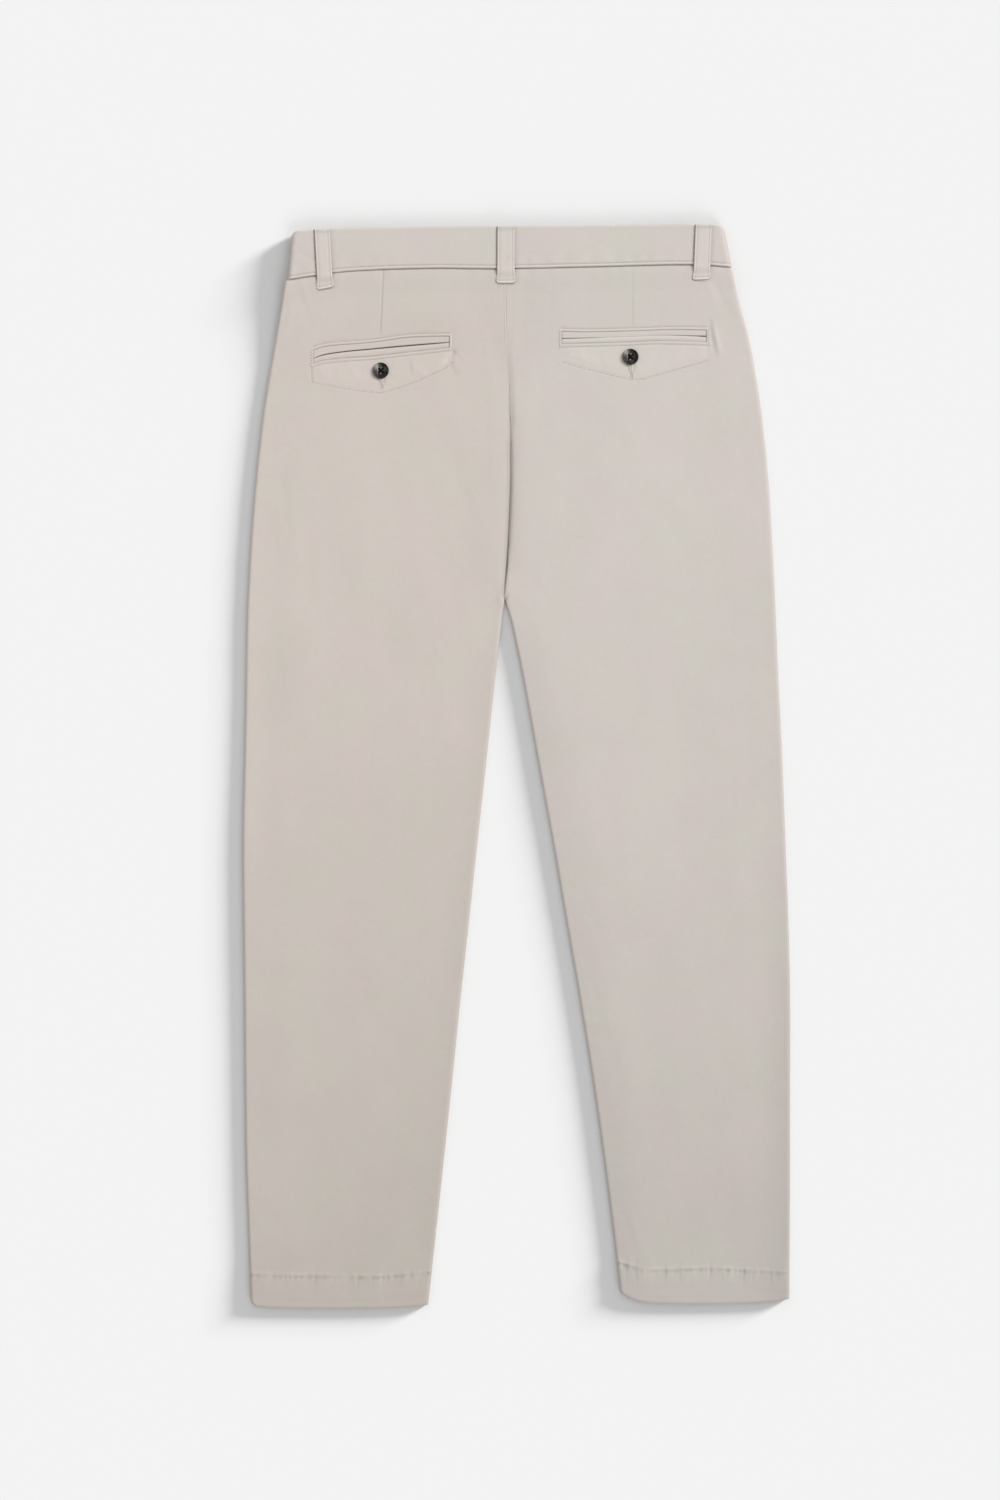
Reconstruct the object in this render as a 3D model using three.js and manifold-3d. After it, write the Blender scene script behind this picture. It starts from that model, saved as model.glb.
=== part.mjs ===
// Chino trousers, laid flat on their front with the back up and the legs a little apart.
// Millimetres, +Z up from the surface they lie on. The waistband is at +Y and the hems at -Y, and
// the wearer's left leg is at -X. The origin is on the surface, in the middle of the outline.
//
// The body is a flattened tube. Each back panel runs across the top of its leg, rolls round both
// edges and turns under to a seam, where the front panel lies flat on the surface. The waistband
// halves wrap the tucked top edges of the panels. "Down" is the distance below the highest point of
// the waistband, and "fall" is the distance below the waistband's lower edge.

import * as THREE from "three";
import { mergeVertices } from "three/addons/utils/BufferGeometryUtils.js";
import Module from "manifold-3d";

// Cloth and gaps
const clothWall = 1.5; // twill with its seam allowances pressed behind it
const hemWall = 2.1; // the turned-up hem, three layers
const bandWall = 2.4; // folded waistband with its stiffener
const trimWall = 1.3; // pocket welts and belt loops
const seamGap = 0.3; // between neighbouring pieces

// Where things are along the garment
const highestY = 520.4; // Y of the waistband's highest point
const tuckDepth = 9; // how far the panels reach up inside the waistband
const crotchDown = 356; // the last section before the legs part
const hemDepth = 30; // from the hem's stitching to the edge
const frontDip = 22; // how much lower the waistband is at the centre front

// Heights above the surface
const loopLayer = trimWall + seamGap; // the front belt loops lie under the waistband
const bandTopZ = 11.4;
const waistLowZ = loopLayer + bandWall + seamGap; // underside of the panels where they are tucked in
const waistTopZ = bandTopZ - bandWall - seamGap; // top of the panels where they are tucked in
const legTopZ = 6.0; // top of a leg in its middle
const hemTopZ = 6.3;
const edgeDrop = 0.7; // how much lower a leg is at its rolled edges
const edgeReach = 45; // how far in from an edge that drop is felt
const settleFall = 90; // by this fall the body has come down from the waistband to the surface

// Turned-under seams
const lipWidth = 12; // from a leg's edge to its seam on the underside
const shortLip = 5; // the same at the crotch, where the seams meet
const crotchRoom = 1.5; // how much wider the gap beside the short lip is

// The centre-back fold, where the left half lies over the right
const fold = { over: 5, lift: 0.9, dip: 0.95, reach: 48 };
const foldRise = { from: 128, full: 180, held: 330, to: 356 }; // where the two edges part in height
const foldLap = { from: 187, full: 214, held: 300, to: 327 }; // where one then lies over the other

// Each leg's outline seen from above: the X of its outer edge, and of its inner edge, which is the
// centre-back seam above the crotch.
const leftLeg = [
  { down: 30, outer: -217.6, inner: -10.2 },
  { down: 72, outer: -224.6, inner: -9.9 },
  { down: 110, outer: -231.3, inner: -9.1 },
  { down: 149, outer: -238.3, inner: -7.0 },
  { down: 187, outer: -244.0, inner: -6.0 },
  { down: 245, outer: -250.4, inner: -5.2 },
  { down: 302, outer: -255.0, inner: -7.4 },
  { down: 360, outer: -258.2, inner: -12.8 },
  { down: 437, outer: -259.9, inner: -20.7 },
  { down: 514, outer: -261.3, inner: -28.8 },
  { down: 590, outer: -262.9, inner: -37.2 },
  { down: 667, outer: -262.3, inner: -45.4 },
  { down: 744, outer: -261.4, inner: -53.8 },
  { down: 821, outer: -260.9, inner: -61.7 },
  { down: 898, outer: -259.9, inner: -69.8 },
  { down: 974, outer: -257.3, inner: -78.1 },
  { down: 1040, outer: -255.0, inner: -85.2 },
];
const rightLeg = [
  { down: 30, outer: 203.8, inner: -10.2 },
  { down: 72, outer: 213.2, inner: -9.9 },
  { down: 110, outer: 223.4, inner: -9.1 },
  { down: 149, outer: 230.7, inner: -7.0 },
  { down: 187, outer: 236.1, inner: -6.0 },
  { down: 245, outer: 242.0, inner: -5.2 },
  { down: 302, outer: 245.5, inner: -7.4 },
  { down: 348, outer: 247.9, inner: -11.4 },
  { down: 362, outer: 248.5, inner: -10.4 },
  { down: 380, outer: 249.3, inner: -5.4 },
  { down: 437, outer: 251.7, inner: 6.5 },
  { down: 514, outer: 255.4, inner: 20.4 },
  { down: 590, outer: 258.3, inner: 34.3 },
  { down: 667, outer: 261.2, inner: 47.5 },
  { down: 744, outer: 262.9, inner: 60.8 },
  { down: 821, outer: 262.8, inner: 73.2 },
  { down: 898, outer: 262.8, inner: 84.1 },
  { down: 974, outer: 262.4, inner: 93.8 },
  { down: 1040, outer: 261.8, inner: 101.0 },
];

// The waistband's two edges and the two hem edges, as seen from above.
const bandEdges = [
  { x: -220, top: 7.2, bottom: 53.4 },
  { x: -193, top: 5.0, bottom: 49.2 },
  { x: -160, top: 3.8, bottom: 44.9 },
  { x: -83, top: 2.4, bottom: 42.2 },
  { x: -20, top: 1.9, bottom: 42.6 },
  { x: 70, top: 1.3, bottom: 40.8 },
  { x: 169, top: 0.2, bottom: 38.7 },
  { x: 207, top: 1.2, bottom: 41.3 },
];
const bandSides = { left: { top: -215.5, bottom: -219.9 }, right: { top: 198.6, bottom: 206.8 } };
const hemEdges = {
  left: [
    { x: -256, down: 1033.5 },
    { x: -250, down: 1038.6 },
    { x: -194, down: 1040.6 },
    { x: -140, down: 1040.2 },
    { x: -100, down: 1038.9 },
    { x: -84, down: 1037.0 },
  ],
  right: [
    { x: 98, down: 1024.0 },
    { x: 108, down: 1030.6 },
    { x: 120, down: 1034.4 },
    { x: 150, down: 1036.2 },
    { x: 205, down: 1036.0 },
    { x: 245, down: 1034.2 },
    { x: 262, down: 1031.2 },
  ],
};

// Soft folds in the back panels: ridges have a positive height and troughs a negative one.
const softFolds = [
  { x: -205, from: 190, to: 560, reach: 34, height: 0.35 },
  { x: -120, from: 150, to: 480, reach: 30, height: -0.35 },
  { x: -215, from: 560, to: 1000, reach: 40, height: 0.3 },
  { x: -115, from: 600, to: 1010, reach: 38, height: -0.5 },
  { x: 75, from: 190, to: 520, reach: 34, height: 0.35 },
  { x: 160, from: 230, to: 700, reach: 36, height: -0.35 },
  { x: 215, from: 520, to: 980, reach: 34, height: 0.3 },
  { x: 130, from: 620, to: 1010, reach: 30, height: -0.4 },
];

// Rows of each panel, named by where they are, with how many steps lead to the next one. The first
// rows follow the waistband's curve and the last ones the hem's, so their downs are averages.
const bandBottomMean = 42;
const hemMean = 1039;
const stations = [
  { at: "tucked edge", down: bandBottomMean - tuckDepth, steps: 1 },
  { at: "just below the waistband", down: bandBottomMean + 0.6, steps: 1 },
  { at: "clear of the waistband", down: bandBottomMean + 6, steps: 4 },
  { at: "upper hip", down: 130, steps: 8 },
  { at: "crotch", down: crotchDown, steps: 1 },
  { at: "parted legs", down: crotchDown + 8, steps: 2 },
  { at: "inner thigh", down: 392, steps: 12 },
  { at: "shin", down: 940, steps: 2 },
  { at: "above the hem", down: hemMean - hemDepth - 7, steps: 1 },
  { at: "hem stitching", down: hemMean - hemDepth, steps: 2 },
  { at: "hem edge", down: hemMean, steps: 0 },
];

// Stretches over which one thing turns into another, as downs
const leavesBand = { from: bandBottomMean + 0.6, to: bandBottomMean + 6 }; // the side edge
const followsBand = { from: 50, to: 150 }; // rows stop following the waistband's curve
const followsHem = { from: 940, to: hemMean }; // rows take up the hem's curve
const legsPart = { from: 300, to: 400 }; // the inner edges start to roll
const lipGrows = { from: crotchDown + 8, to: 400 }; // the lip under the inner edge
const seamEnds = { from: crotchDown, to: crotchDown + 8 }; // the centre seam's gap
const hemRises = { from: 975, to: 1015 }; // the leg rises to the hem
const hemThickens = { from: 1000, to: 1010 }; // one layer turns into the hem

const wasm = await Module();
wasm.setup();

// Small mathematics
const { lerp, smoothstep } = THREE.MathUtils;
const portion = (x, from, to) => THREE.MathUtils.clamp((x - from) / (to - from), 0, 1);
const bump = (x, { from, to }) => Math.sin(Math.PI * portion(x, from, to)) ** 2;
const into = (x, { from, to }) => smoothstep(x, from, to);
const nearness = (distance, reach) => 1 - smoothstep(Math.abs(distance), 0, reach);

function evenly(count, from, to) {
  return Array.from({ length: count }, (_, k) => lerp(from, to, k / (count - 1)));
}

// A smooth curve through one column of a table, as a function of another column.
function along(table, by, column) {
  const at = table.map((row) => row[by]);
  const value = table.map((row) => row[column]);
  const slope = value.map((_, i) => {
    const before = Math.max(i - 1, 0);
    const after = Math.min(i + 1, value.length - 1);
    return (value[after] - value[before]) / (at[after] - at[before]);
  });
  return (x) => {
    const held = THREE.MathUtils.clamp(x, at[0], at.at(-1));
    const i = Math.min(at.findLastIndex((a) => a <= held), at.length - 2);
    const span = at[i + 1] - at[i];
    const s = (held - at[i]) / span;
    const bend = (2 * s - 3) * s * s;
    return (
      (1 + bend) * value[i] -
      bend * value[i + 1] +
      span * s * (1 - s) * ((1 - s) * slope[i] - s * slope[i + 1])
    );
  };
}

const bandTopDown = along(bandEdges, "x", "top");
const bandBottomDown = along(bandEdges, "x", "bottom");

// The two halves of the garment. "In" is the direction along X from the outer edge to the middle.
const halves = {
  left: {
    name: "left",
    inward: 1,
    outer: along(leftLeg, "down", "outer"),
    inner: along(leftLeg, "down", "inner"),
    hem: along(hemEdges.left, "x", "down"),
  },
  right: {
    name: "right",
    inward: -1,
    outer: along(rightLeg, "down", "outer"),
    inner: along(rightLeg, "down", "inner"),
    hem: along(hemEdges.right, "x", "down"),
  },
};

// How far a stretch has come in at a section, 0 to 1.
function shareOf({ from, full, held, to }, down) {
  return smoothstep(down, from, full) * (1 - smoothstep(down, held, to));
}

// X of a back panel's inner edge. The right panel runs on under the left one in the fold.
function innerEdge(half, down) {
  const seam = half.inner(down) - half.inward * (seamGap / 2) * (1 - into(down, seamEnds));
  return half.name === "right" ? seam - fold.over * shareOf(foldLap, down) : seam;
}

// How much of the way from the waistband down to the lying body a point has come, 0 to 1.
const settled = (fall) => smoothstep(fall, 3, settleFall);

// Height of the body's underside. At the front the waistband dips, so the fall starts lower there.
const bodyLow = (fall) => lerp(waistLowZ, 0, settled(fall));

// Height of the top side of a back panel.
function bodyTop(half, x, down) {
  const onLand = settled(down - bandBottomDown(x));
  const fromOuter = x - half.outer(down);
  const fromInner = x - half.inner(down);
  const parted = into(down, legsPart);
  let z = lerp(waistTopZ, legTopZ, onLand);
  z -= edgeDrop * onLand * nearness(fromOuter, edgeReach);
  z -= edgeDrop * parted * nearness(fromInner, edgeReach);
  const rise = half.name === "left" ? fold.lift : -fold.dip;
  z += rise * shareOf(foldRise, down) * nearness(fromInner, fold.reach);
  for (const f of softFolds) z += f.height * bump(down, f) * nearness(x - f.x, f.reach);
  return lerp(z, hemTopZ, into(down, hemRises));
}

// Every row of a panel: its down on average, spread out from the stations.
const rowDowns = stations.flatMap(({ down, steps }, i) =>
  steps ? Array.from({ length: steps }, (_, k) => lerp(down, stations[i + 1].down, k / steps)) : [down],
);

// Down of a point in a row: the first rows follow the waistband, and the last ones the hem.
function rowDown(half, rowMean, x, dip = 0) {
  const byBand = 1 - into(rowMean, followsBand);
  const byHem = into(rowMean, followsHem);
  return rowMean + byBand * (bandBottomDown(x) + dip - bandBottomMean) + byHem * (half.hem(x) - hemMean);
}

// X of the waistband's side edge.
function bandSide(half, down) {
  const { top, bottom } = bandSides[half.name];
  const share = (down - bandTopDown(bottom)) / (bandBottomDown(bottom) - bandTopDown(bottom));
  return lerp(top, bottom, THREE.MathUtils.clamp(share, 0, 1));
}

// X of the body's outer edge in a row. The first rows are tucked inside the waistband.
function outerEdge(half, rowMean) {
  const down = rowDown(half, rowMean, half.outer(rowMean));
  const tucked = bandSide(half, down) + half.inward * (bandWall + seamGap);
  return lerp(tucked, half.outer(down), into(rowMean, leavesBand));
}

const wallAt = (down) => lerp(clothWall, hemWall, into(down, hemThickens));
const pointAt = (x, down, z) => new THREE.Vector3(x, highestY - down, z);

// A closed wall between two grids of points. Seen from outside the first grid, its columns run to
// the right and its rows run down.
function wallBetween(outside, inside) {
  const rows = outside.length;
  const columns = outside[0].length;
  const points = [...outside.flat(), ...inside.flat()];
  const out = (r, c) => r * columns + c;
  const back = (r, c) => (rows + r) * columns + c;
  const index = [];
  const quad = (a, b, c, d) => index.push(a, b, c, a, c, d);
  for (let r = 0; r + 1 < rows; r++) {
    for (let c = 0; c + 1 < columns; c++) {
      quad(out(r, c), out(r + 1, c), out(r + 1, c + 1), out(r, c + 1));
      quad(back(r, c), back(r, c + 1), back(r + 1, c + 1), back(r + 1, c));
    }
    quad(out(r, 0), back(r, 0), back(r + 1, 0), out(r + 1, 0));
    quad(out(r + 1, columns - 1), back(r + 1, columns - 1), back(r, columns - 1), out(r, columns - 1));
  }
  for (let c = 0; c + 1 < columns; c++) {
    quad(out(0, c), out(0, c + 1), back(0, c + 1), back(0, c));
    quad(out(rows - 1, c + 1), out(rows - 1, c), back(rows - 1, c), back(rows - 1, c + 1));
  }
  const geometry = new THREE.BufferGeometry().setFromPoints(points).setIndex(index);
  geometry.computeVertexNormals();
  return geometry;
}

// A wall from rows of { out, in } pairs. The right half's pairs run the other way round.
function wallOf(rows, inward = 1) {
  const ordered = inward > 0 ? rows : rows.map((row) => [...row].reverse());
  return wallBetween(
    ordered.map((row) => row.map((pair) => pair.out)),
    ordered.map((row) => row.map((pair) => pair.in)),
  );
}

// Points round a rolled edge, from the underside to the top. Distances are measured inward.
function rolledEdge(edge, inward, low, top, wall, steps, place) {
  const radius = (top - low) / 2;
  const middle = (top + low) / 2;
  return evenly(steps, -Math.PI / 2, Math.PI / 2).map((turn) => {
    const spot = (r) => place(edge + inward * (radius - r * Math.cos(turn)), middle + r * Math.sin(turn));
    return { out: spot(radius), in: spot(radius - wall) };
  });
}

// One back panel: underside lip, outer roll, top, inner roll and inner lip. Above the crotch the
// columns of the inner roll and lip lie flat along the centre seam instead.
function panelWall(half) {
  const { inward } = half;
  const rollSteps = 5;
  const topColumns = 10;
  const rows = rowDowns.map((rowMean) => {
    const place = (x, z) => pointAt(x, rowDown(half, rowMean, x), z);
    const outerX = outerEdge(half, rowMean);
    const innerX = innerEdge(half, rowMean);
    const wall = wallAt(rowMean);
    const topZ = (x) => bodyTop(half, x, rowDown(half, rowMean, x));
    const flat = (x, z, side) => ({ out: place(x, z), in: place(x, z + side * wall) });
    const low = bodyLow(rowDown(half, rowMean, outerX) - bandBottomDown(outerX));
    const outerTop = topZ(outerX);
    const outerRadius = (outerTop - low) / 2;
    const lip = [flat(outerX + inward * lipWidth, low, 1)];
    const outerRoll = rolledEdge(outerX, inward, low, outerTop, wall, rollSteps, place);
    const topStart = outerX + inward * outerRadius;
    if (rowMean <= crotchDown) {
      const seamStart = innerX - inward * (rollSteps + 1);
      const top = evenly(topColumns + 2, topStart, seamStart).slice(1, -1);
      const seam = evenly(rollSteps + 1, seamStart, innerX);
      return [...lip, ...outerRoll, ...[...top, ...seam].map((x) => flat(x, topZ(x), -1))];
    }
    const innerTop = topZ(innerX);
    const innerRoll = rolledEdge(innerX, -inward, 0, innerTop, wall, rollSteps, place).reverse();
    const top = evenly(topColumns + 2, topStart, innerX - (inward * innerTop) / 2).slice(1, -1);
    return [
      ...lip,
      ...outerRoll,
      ...top.map((x) => flat(x, topZ(x), -1)),
      ...innerRoll,
      flat(innerX - inward * innerLip(rowMean), 0, 1),
    ];
  });
  return wallOf(rows, inward);
}

// Width of the lip under a leg's inner edge, which starts short at the crotch.
const innerLip = (down) => lerp(shortLip, lipWidth, into(down, lipGrows));

// The front. Its centre seam starts as the fly's edge and runs to the crotch.
const centreFront = along(
  [
    { down: 30, x: 3 },
    { down: 200, x: 3 },
    { down: crotchDown, x: -11 },
  ],
  "down",
  "x",
);
const slantMouth = { in: 52, fall: 165 }; // a slant front pocket: in from the side seam, and down
const slantLeast = 6; // the hip piece ends where the mouth is this far from the side seam

// How much lower the front waistband is than the back one at x.
function dipAt(half, x) {
  const side = bandSides[half.name].bottom;
  const share = THREE.MathUtils.clamp((x - side) / (centreFront(0) - side), 0, 1);
  return frontDip * Math.sin((Math.PI / 2) * share) ** 2;
}

// X of the seam between the front and the turned-under back, on the outside and on the inside leg.
const sideSeam = (half, rowMean) => outerEdge(half, rowMean) + half.inward * (lipWidth + seamGap);
function frontInner(half, rowMean) {
  if (rowMean <= crotchDown) return centreFront(rowMean) - half.inward * (seamGap / 2);
  const room = seamGap + crotchRoom * (1 - into(rowMean, lipGrows));
  return innerEdge(half, rowMean) - half.inward * (innerLip(rowMean) + room);
}

// Distance in from the side seam to the slanted pocket mouth.
const mouthAt = (rowMean) => slantMouth.in * Math.max(0, 1 - (rowMean - bandBottomMean) / slantMouth.fall);

// A flat strip of the front between two edges given as functions of the row.
function frontStrip(half, rowMeans, fromX, toX, columns) {
  const rows = rowMeans.map((rowMean) =>
    evenly(columns, fromX(rowMean), toX(rowMean)).map((x) => {
      const dip = dipAt(half, x);
      const down = rowDown(half, rowMean, x, dip);
      const low = bodyLow(down - bandBottomDown(x) - dip);
      return { out: pointAt(x, down, low + wallAt(rowMean)), in: pointAt(x, down, low) };
    }),
  );
  return wallOf(rows, half.inward);
}

function frontPanel(half) {
  const mouthGap = (rowMean) => (mouthAt(rowMean) > 0 ? seamGap : 0);
  const fromX = (rowMean) => sideSeam(half, rowMean) + half.inward * (mouthAt(rowMean) + mouthGap(rowMean));
  return frontStrip(half, rowDowns, fromX, (rowMean) => frontInner(half, rowMean), 6);
}

// The hip piece that shows inside the slanted pocket mouth.
function frontPocket(half) {
  const rowMeans = rowDowns.filter((down) => mouthAt(down) > slantLeast);
  const fromX = (rowMean) => sideSeam(half, rowMean);
  const toX = (rowMean) => fromX(rowMean) + half.inward * mouthAt(rowMean);
  return frontStrip(half, rowMeans, fromX, toX, 3);
}

// One half of the waistband: from the centre front along the underside, round the side and across
// the back to the centre-back seam. Its edges are a little lower than its middle.
const bandRows = [
  { share: 0, sink: 0.7, inset: 2.4 },
  { share: 0.09, sink: 0.1, inset: 0.2 },
  { share: 0.5, sink: 0, inset: 0 },
  { share: 0.91, sink: 0.1, inset: 0 },
  { share: 1, sink: 0.5, inset: 0 },
];
const flyLap = 16; // the left end laps past the centre front

function waistband(half) {
  const { inward } = half;
  const frontEnd = centreFront(0) + flyLap - inward * (seamGap / 2);
  const backEnd = half.inner(0) - inward * (seamGap / 2);
  const rows = bandRows.map(({ share, sink, inset }) => {
    const side = bandSides[half.name];
    const edge = lerp(side.top, side.bottom, share) + inward * inset;
    const low = loopLayer + sink;
    const top = bandTopZ - sink;
    const wall = bandWall - sink;
    const downAt = (x, dip) => lerp(bandTopDown(x), bandBottomDown(x), share) + dip;
    const under = (x, z) => pointAt(x, downAt(x, dipAt(half, x)), z);
    const over = (x, z) => pointAt(x, downAt(x, 0), z);
    const radius = (top - low) / 2;
    const underside = evenly(9, frontEnd, edge + inward * radius).slice(0, -1);
    const topside = evenly(11, edge + inward * radius, backEnd).slice(1);
    return [
      ...underside.map((x) => ({ out: under(x, low), in: under(x, low + wall) })),
      ...rolledEdge(edge, inward, low, top, wall, 6, over),
      ...topside.map((x) => ({ out: over(x, top), in: over(x, top - wall) })),
    ];
  });
  return wallOf(rows, inward);
}

// A belt loop lies over the waistband and comes down to the panel below it. The front ones are
// flat, because the garment lies on them.
const loops = [
  { node: "belt_loop_back_left", half: "left", topX: -187.1, endX: -182.7, width: 16, length: 55.5 },
  { node: "belt_loop_back_centre", half: "left", topX: -10.2, endX: -10.2, width: 17, length: 54.5 },
  { node: "belt_loop_back_right", half: "right", topX: 178.8, endX: 177.3, width: 16, length: 53 },
];
const frontLoops = [
  { node: "belt_loop_front_left", half: "left", x: -118, width: 16, length: 53 },
  { node: "belt_loop_front_right", half: "right", x: 112, width: 16, length: 53 },
];
const loopRise = 0.9; // how far a loop stands off the waistband in its middle
const loopDrop = 0.4; // from the waistband's upper edge to a loop's end
const loopStep = 9; // how far below the waistband a loop has come down onto the panel
const loopRound = 2; // how much a loop's bottom corners are cut back
const endRound = 0.35; // how much thinner a trim piece is at its edges

function backLoop({ half, topX, endX, width, length }) {
  const rows = evenly(12, 0, 1).map((share) => {
    const middle = lerp(topX, endX, share);
    return [-0.5, -0.44, 0, 0.44, 0.5].map((across) => {
      const round = Math.abs(across) === 0.5 ? endRound : 0;
      const corner = share === 1 && round ? loopRound : 0;
      const x = middle + across * width;
      const down = bandTopDown(middle) + loopDrop + share * length - corner;
      const fall = down - bandBottomDown(middle);
      const seat = lerp(bandTopZ, bodyTop(halves[half], x, down), smoothstep(fall, 0, loopStep));
      const low = seat + seamGap + loopRise * Math.sin(Math.PI * share);
      return { out: pointAt(x, down, low + trimWall - round), in: pointAt(x, down, low) };
    });
  });
  return wallOf(rows);
}

function frontLoop({ half, x: middle, width, length }) {
  const dip = dipAt(halves[half], middle);
  const rows = evenly(3, 0, 1).map((share) =>
    evenly(3, middle - width / 2, middle + width / 2).map((x) => {
      const down = bandTopDown(middle) + dip + loopDrop + share * length;
      return { out: pointAt(x, down, trimWall), in: pointAt(x, down, 0) };
    }),
  );
  return wallOf(rows);
}

// Back pockets. Each is a window cut in the panel, with two narrow welts in it that meet at the
// mouth. Below it a pointed facing behind the panel lifts the cloth, and a button closes it.
const pockets = [
  {
    name: "left",
    fromX: -196.6,
    toX: -60.8,
    mouth: [
      { share: 0, down: 128.4 },
      { share: 0.2, down: 121.8 },
      { share: 0.5, down: 118.0 },
      { share: 1, down: 112.6 },
    ],
    gape: 1.1,
    point: { x: -128.2, down: 161.6 },
    facingDepth: { from: 16, to: 20 },
    button: { x: -130.2, down: 140.2 },
  },
  {
    name: "right",
    fromX: 44.2,
    toX: 184.6,
    mouth: [
      { share: 0, down: 109.2 },
      { share: 0.5, down: 107.6 },
      { share: 1, down: 107.0 },
    ],
    gape: 0.5,
    point: { x: 113.4, down: 149.8 },
    facingDepth: { from: 16.5, to: 15.5 },
    button: { x: 109.4, down: 127.0 },
  },
];
const weltHeight = 6.3;
const weltSink = 0.4; // how far a welt lies below the panel round it
const weltRows = [0, 0.2, 0.8, 1];
const facingLift = 0.45;
const facingInset = 0.8; // from the window's lower edge to the lifted cloth
const pocketColumns = 7; // on each side of the point

// A thin piece that follows a back panel, between an upper and a lower edge given as downs at x.
// Its underside and its top are so far above the panel's own top.
function alongPanel(half, xs, upper, lower, rowShares, under, over, edgeRound = 0) {
  const rows = rowShares.map((share) =>
    xs.map((x) => {
      const down = lerp(upper(x), lower(x), share);
      const top = bodyTop(half, x, down);
      const rim = share === 0 || share === 1 ? edgeRound : 0;
      return { out: pointAt(x, down, top + over - rim), in: pointAt(x, down, top + under) };
    }),
  );
  return wallOf(rows);
}

// Edges of a pocket's parts, as downs at x, and the columns that they all share.
function pocketLines({ fromX, toX, mouth, gape, point, facingDepth }) {
  const mouthCurve = along(mouth, "share", "down");
  const mouthDown = (x) => mouthCurve((x - fromX) / (toX - fromX));
  const lip = (x) => seamGap / 2 + (gape / 2) * Math.sin(Math.PI * portion(x, fromX, toX));
  const facingTop = (x) => mouthDown(x) + weltHeight + seamGap + facingInset;
  const corner = { from: facingTop(fromX) + facingDepth.from, to: facingTop(toX) + facingDepth.to };
  const facingEnd = (x) =>
    x < point.x
      ? lerp(corner.from, point.down, portion(x, fromX, point.x))
      : lerp(point.down, corner.to, portion(x, point.x, toX));
  return {
    xs: [...evenly(pocketColumns, fromX, point.x), ...evenly(pocketColumns, point.x, toX).slice(1)],
    weltTop: (x) => mouthDown(x) - weltHeight,
    upperLip: (x) => mouthDown(x) - lip(x),
    lowerLip: (x) => mouthDown(x) + lip(x),
    weltEnd: (x) => mouthDown(x) + weltHeight,
    facingTop,
    facingEnd,
  };
}

function welts(pocket) {
  const half = halves[pocket.name];
  const { xs, weltTop, upperLip, lowerLip, weltEnd } = pocketLines(pocket);
  const under = -weltSink - trimWall;
  return {
    upper: alongPanel(half, xs, weltTop, upperLip, weltRows, under, -weltSink, endRound),
    lower: alongPanel(half, xs, lowerLip, weltEnd, weltRows, under, -weltSink, endRound),
  };
}

// The back panel with its pocket's window cut out and the cloth over the facing lifted.
function backPanel(half) {
  const pocket = pockets.find(({ name }) => name === half.name);
  const { xs, weltTop, weltEnd, facingTop, facingEnd } = pocketLines(pocket);
  const wide = [xs[0] - seamGap, ...xs.slice(1, -1), xs.at(-1) + seamGap];
  const windowTop = (x) => weltTop(x) - seamGap;
  const windowEnd = (x) => weltEnd(x) + seamGap;
  const cut = alongPanel(half, wide, windowTop, windowEnd, [0, 1], -2 * clothWall, clothWall);
  const lifted = alongPanel(half, xs, facingTop, facingEnd, [0, 0.5, 1], -clothWall / 2, facingLift);
  const panel = solidFrom(panelWall(half)).subtract(solidFrom(cut)).add(solidFrom(lifted));
  return geometryFrom(panel);
}

// A four-hole button with a raised rim and a dished middle.
const button = { radius: 7.6, rimWidth: 1.6, thickness: 2.5, dish: 0.7 };
const buttonHole = { radius: 0.85, spread: 1.55 };

function buttonGeometry() {
  const { radius, rimWidth, thickness, dish } = button;
  const profile = [
    [0, 0],
    [radius * 0.75, 0],
    [radius - 0.3, thickness * 0.3],
    [radius, thickness * 0.6],
    [radius - 0.35, thickness * 0.9],
    [radius - rimWidth * 0.55, thickness],
    [radius - rimWidth, thickness * 0.9],
    [radius - rimWidth * 1.35, thickness - dish],
    [0, thickness - dish],
  ].map(([r, z]) => new THREE.Vector2(r, z));
  const disc = new THREE.LatheGeometry(profile, 28).rotateX(Math.PI / 2);
  let solid = solidFrom(disc);
  for (const [sx, sy] of [[1, 1], [1, -1], [-1, 1], [-1, -1]]) {
    const { radius: r, spread } = buttonHole;
    const drill = new THREE.CylinderGeometry(r, r, thickness * 3, 8).rotateX(Math.PI / 2);
    drill.translate(sx * spread, sy * spread, thickness / 2);
    solid = solid.subtract(solidFrom(drill));
  }
  return geometryFrom(solid);
}

function solidFrom(geometry) {
  const bare = geometry.clone();
  bare.deleteAttribute("normal");
  bare.deleteAttribute("uv");
  const merged = mergeVertices(bare, 1e-4);
  return new wasm.Manifold(
    new wasm.Mesh({
      numProp: 3,
      vertProperties: merged.attributes.position.array,
      triVerts: new Uint32Array(merged.index.array),
    }),
  );
}

function geometryFrom(solid) {
  const { vertProperties, triVerts } = solid.getMesh();
  const geometry = new THREE.BufferGeometry();
  geometry.setAttribute("position", new THREE.BufferAttribute(vertProperties, 3));
  geometry.setIndex(new THREE.BufferAttribute(triVerts, 1));
  geometry.computeVertexNormals();
  return geometry;
}

// Looks
const stoneTwill = { color: 0xcdc6be, roughness: 0.9, metalness: 0 };
const darkHorn = { color: 0x3f3a38, roughness: 0.35, metalness: 0 };

function named(name, geometry, look = stoneTwill) {
  const mesh = new THREE.Mesh(geometry, new THREE.MeshStandardMaterial(look));
  mesh.name = name;
  return mesh;
}

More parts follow.
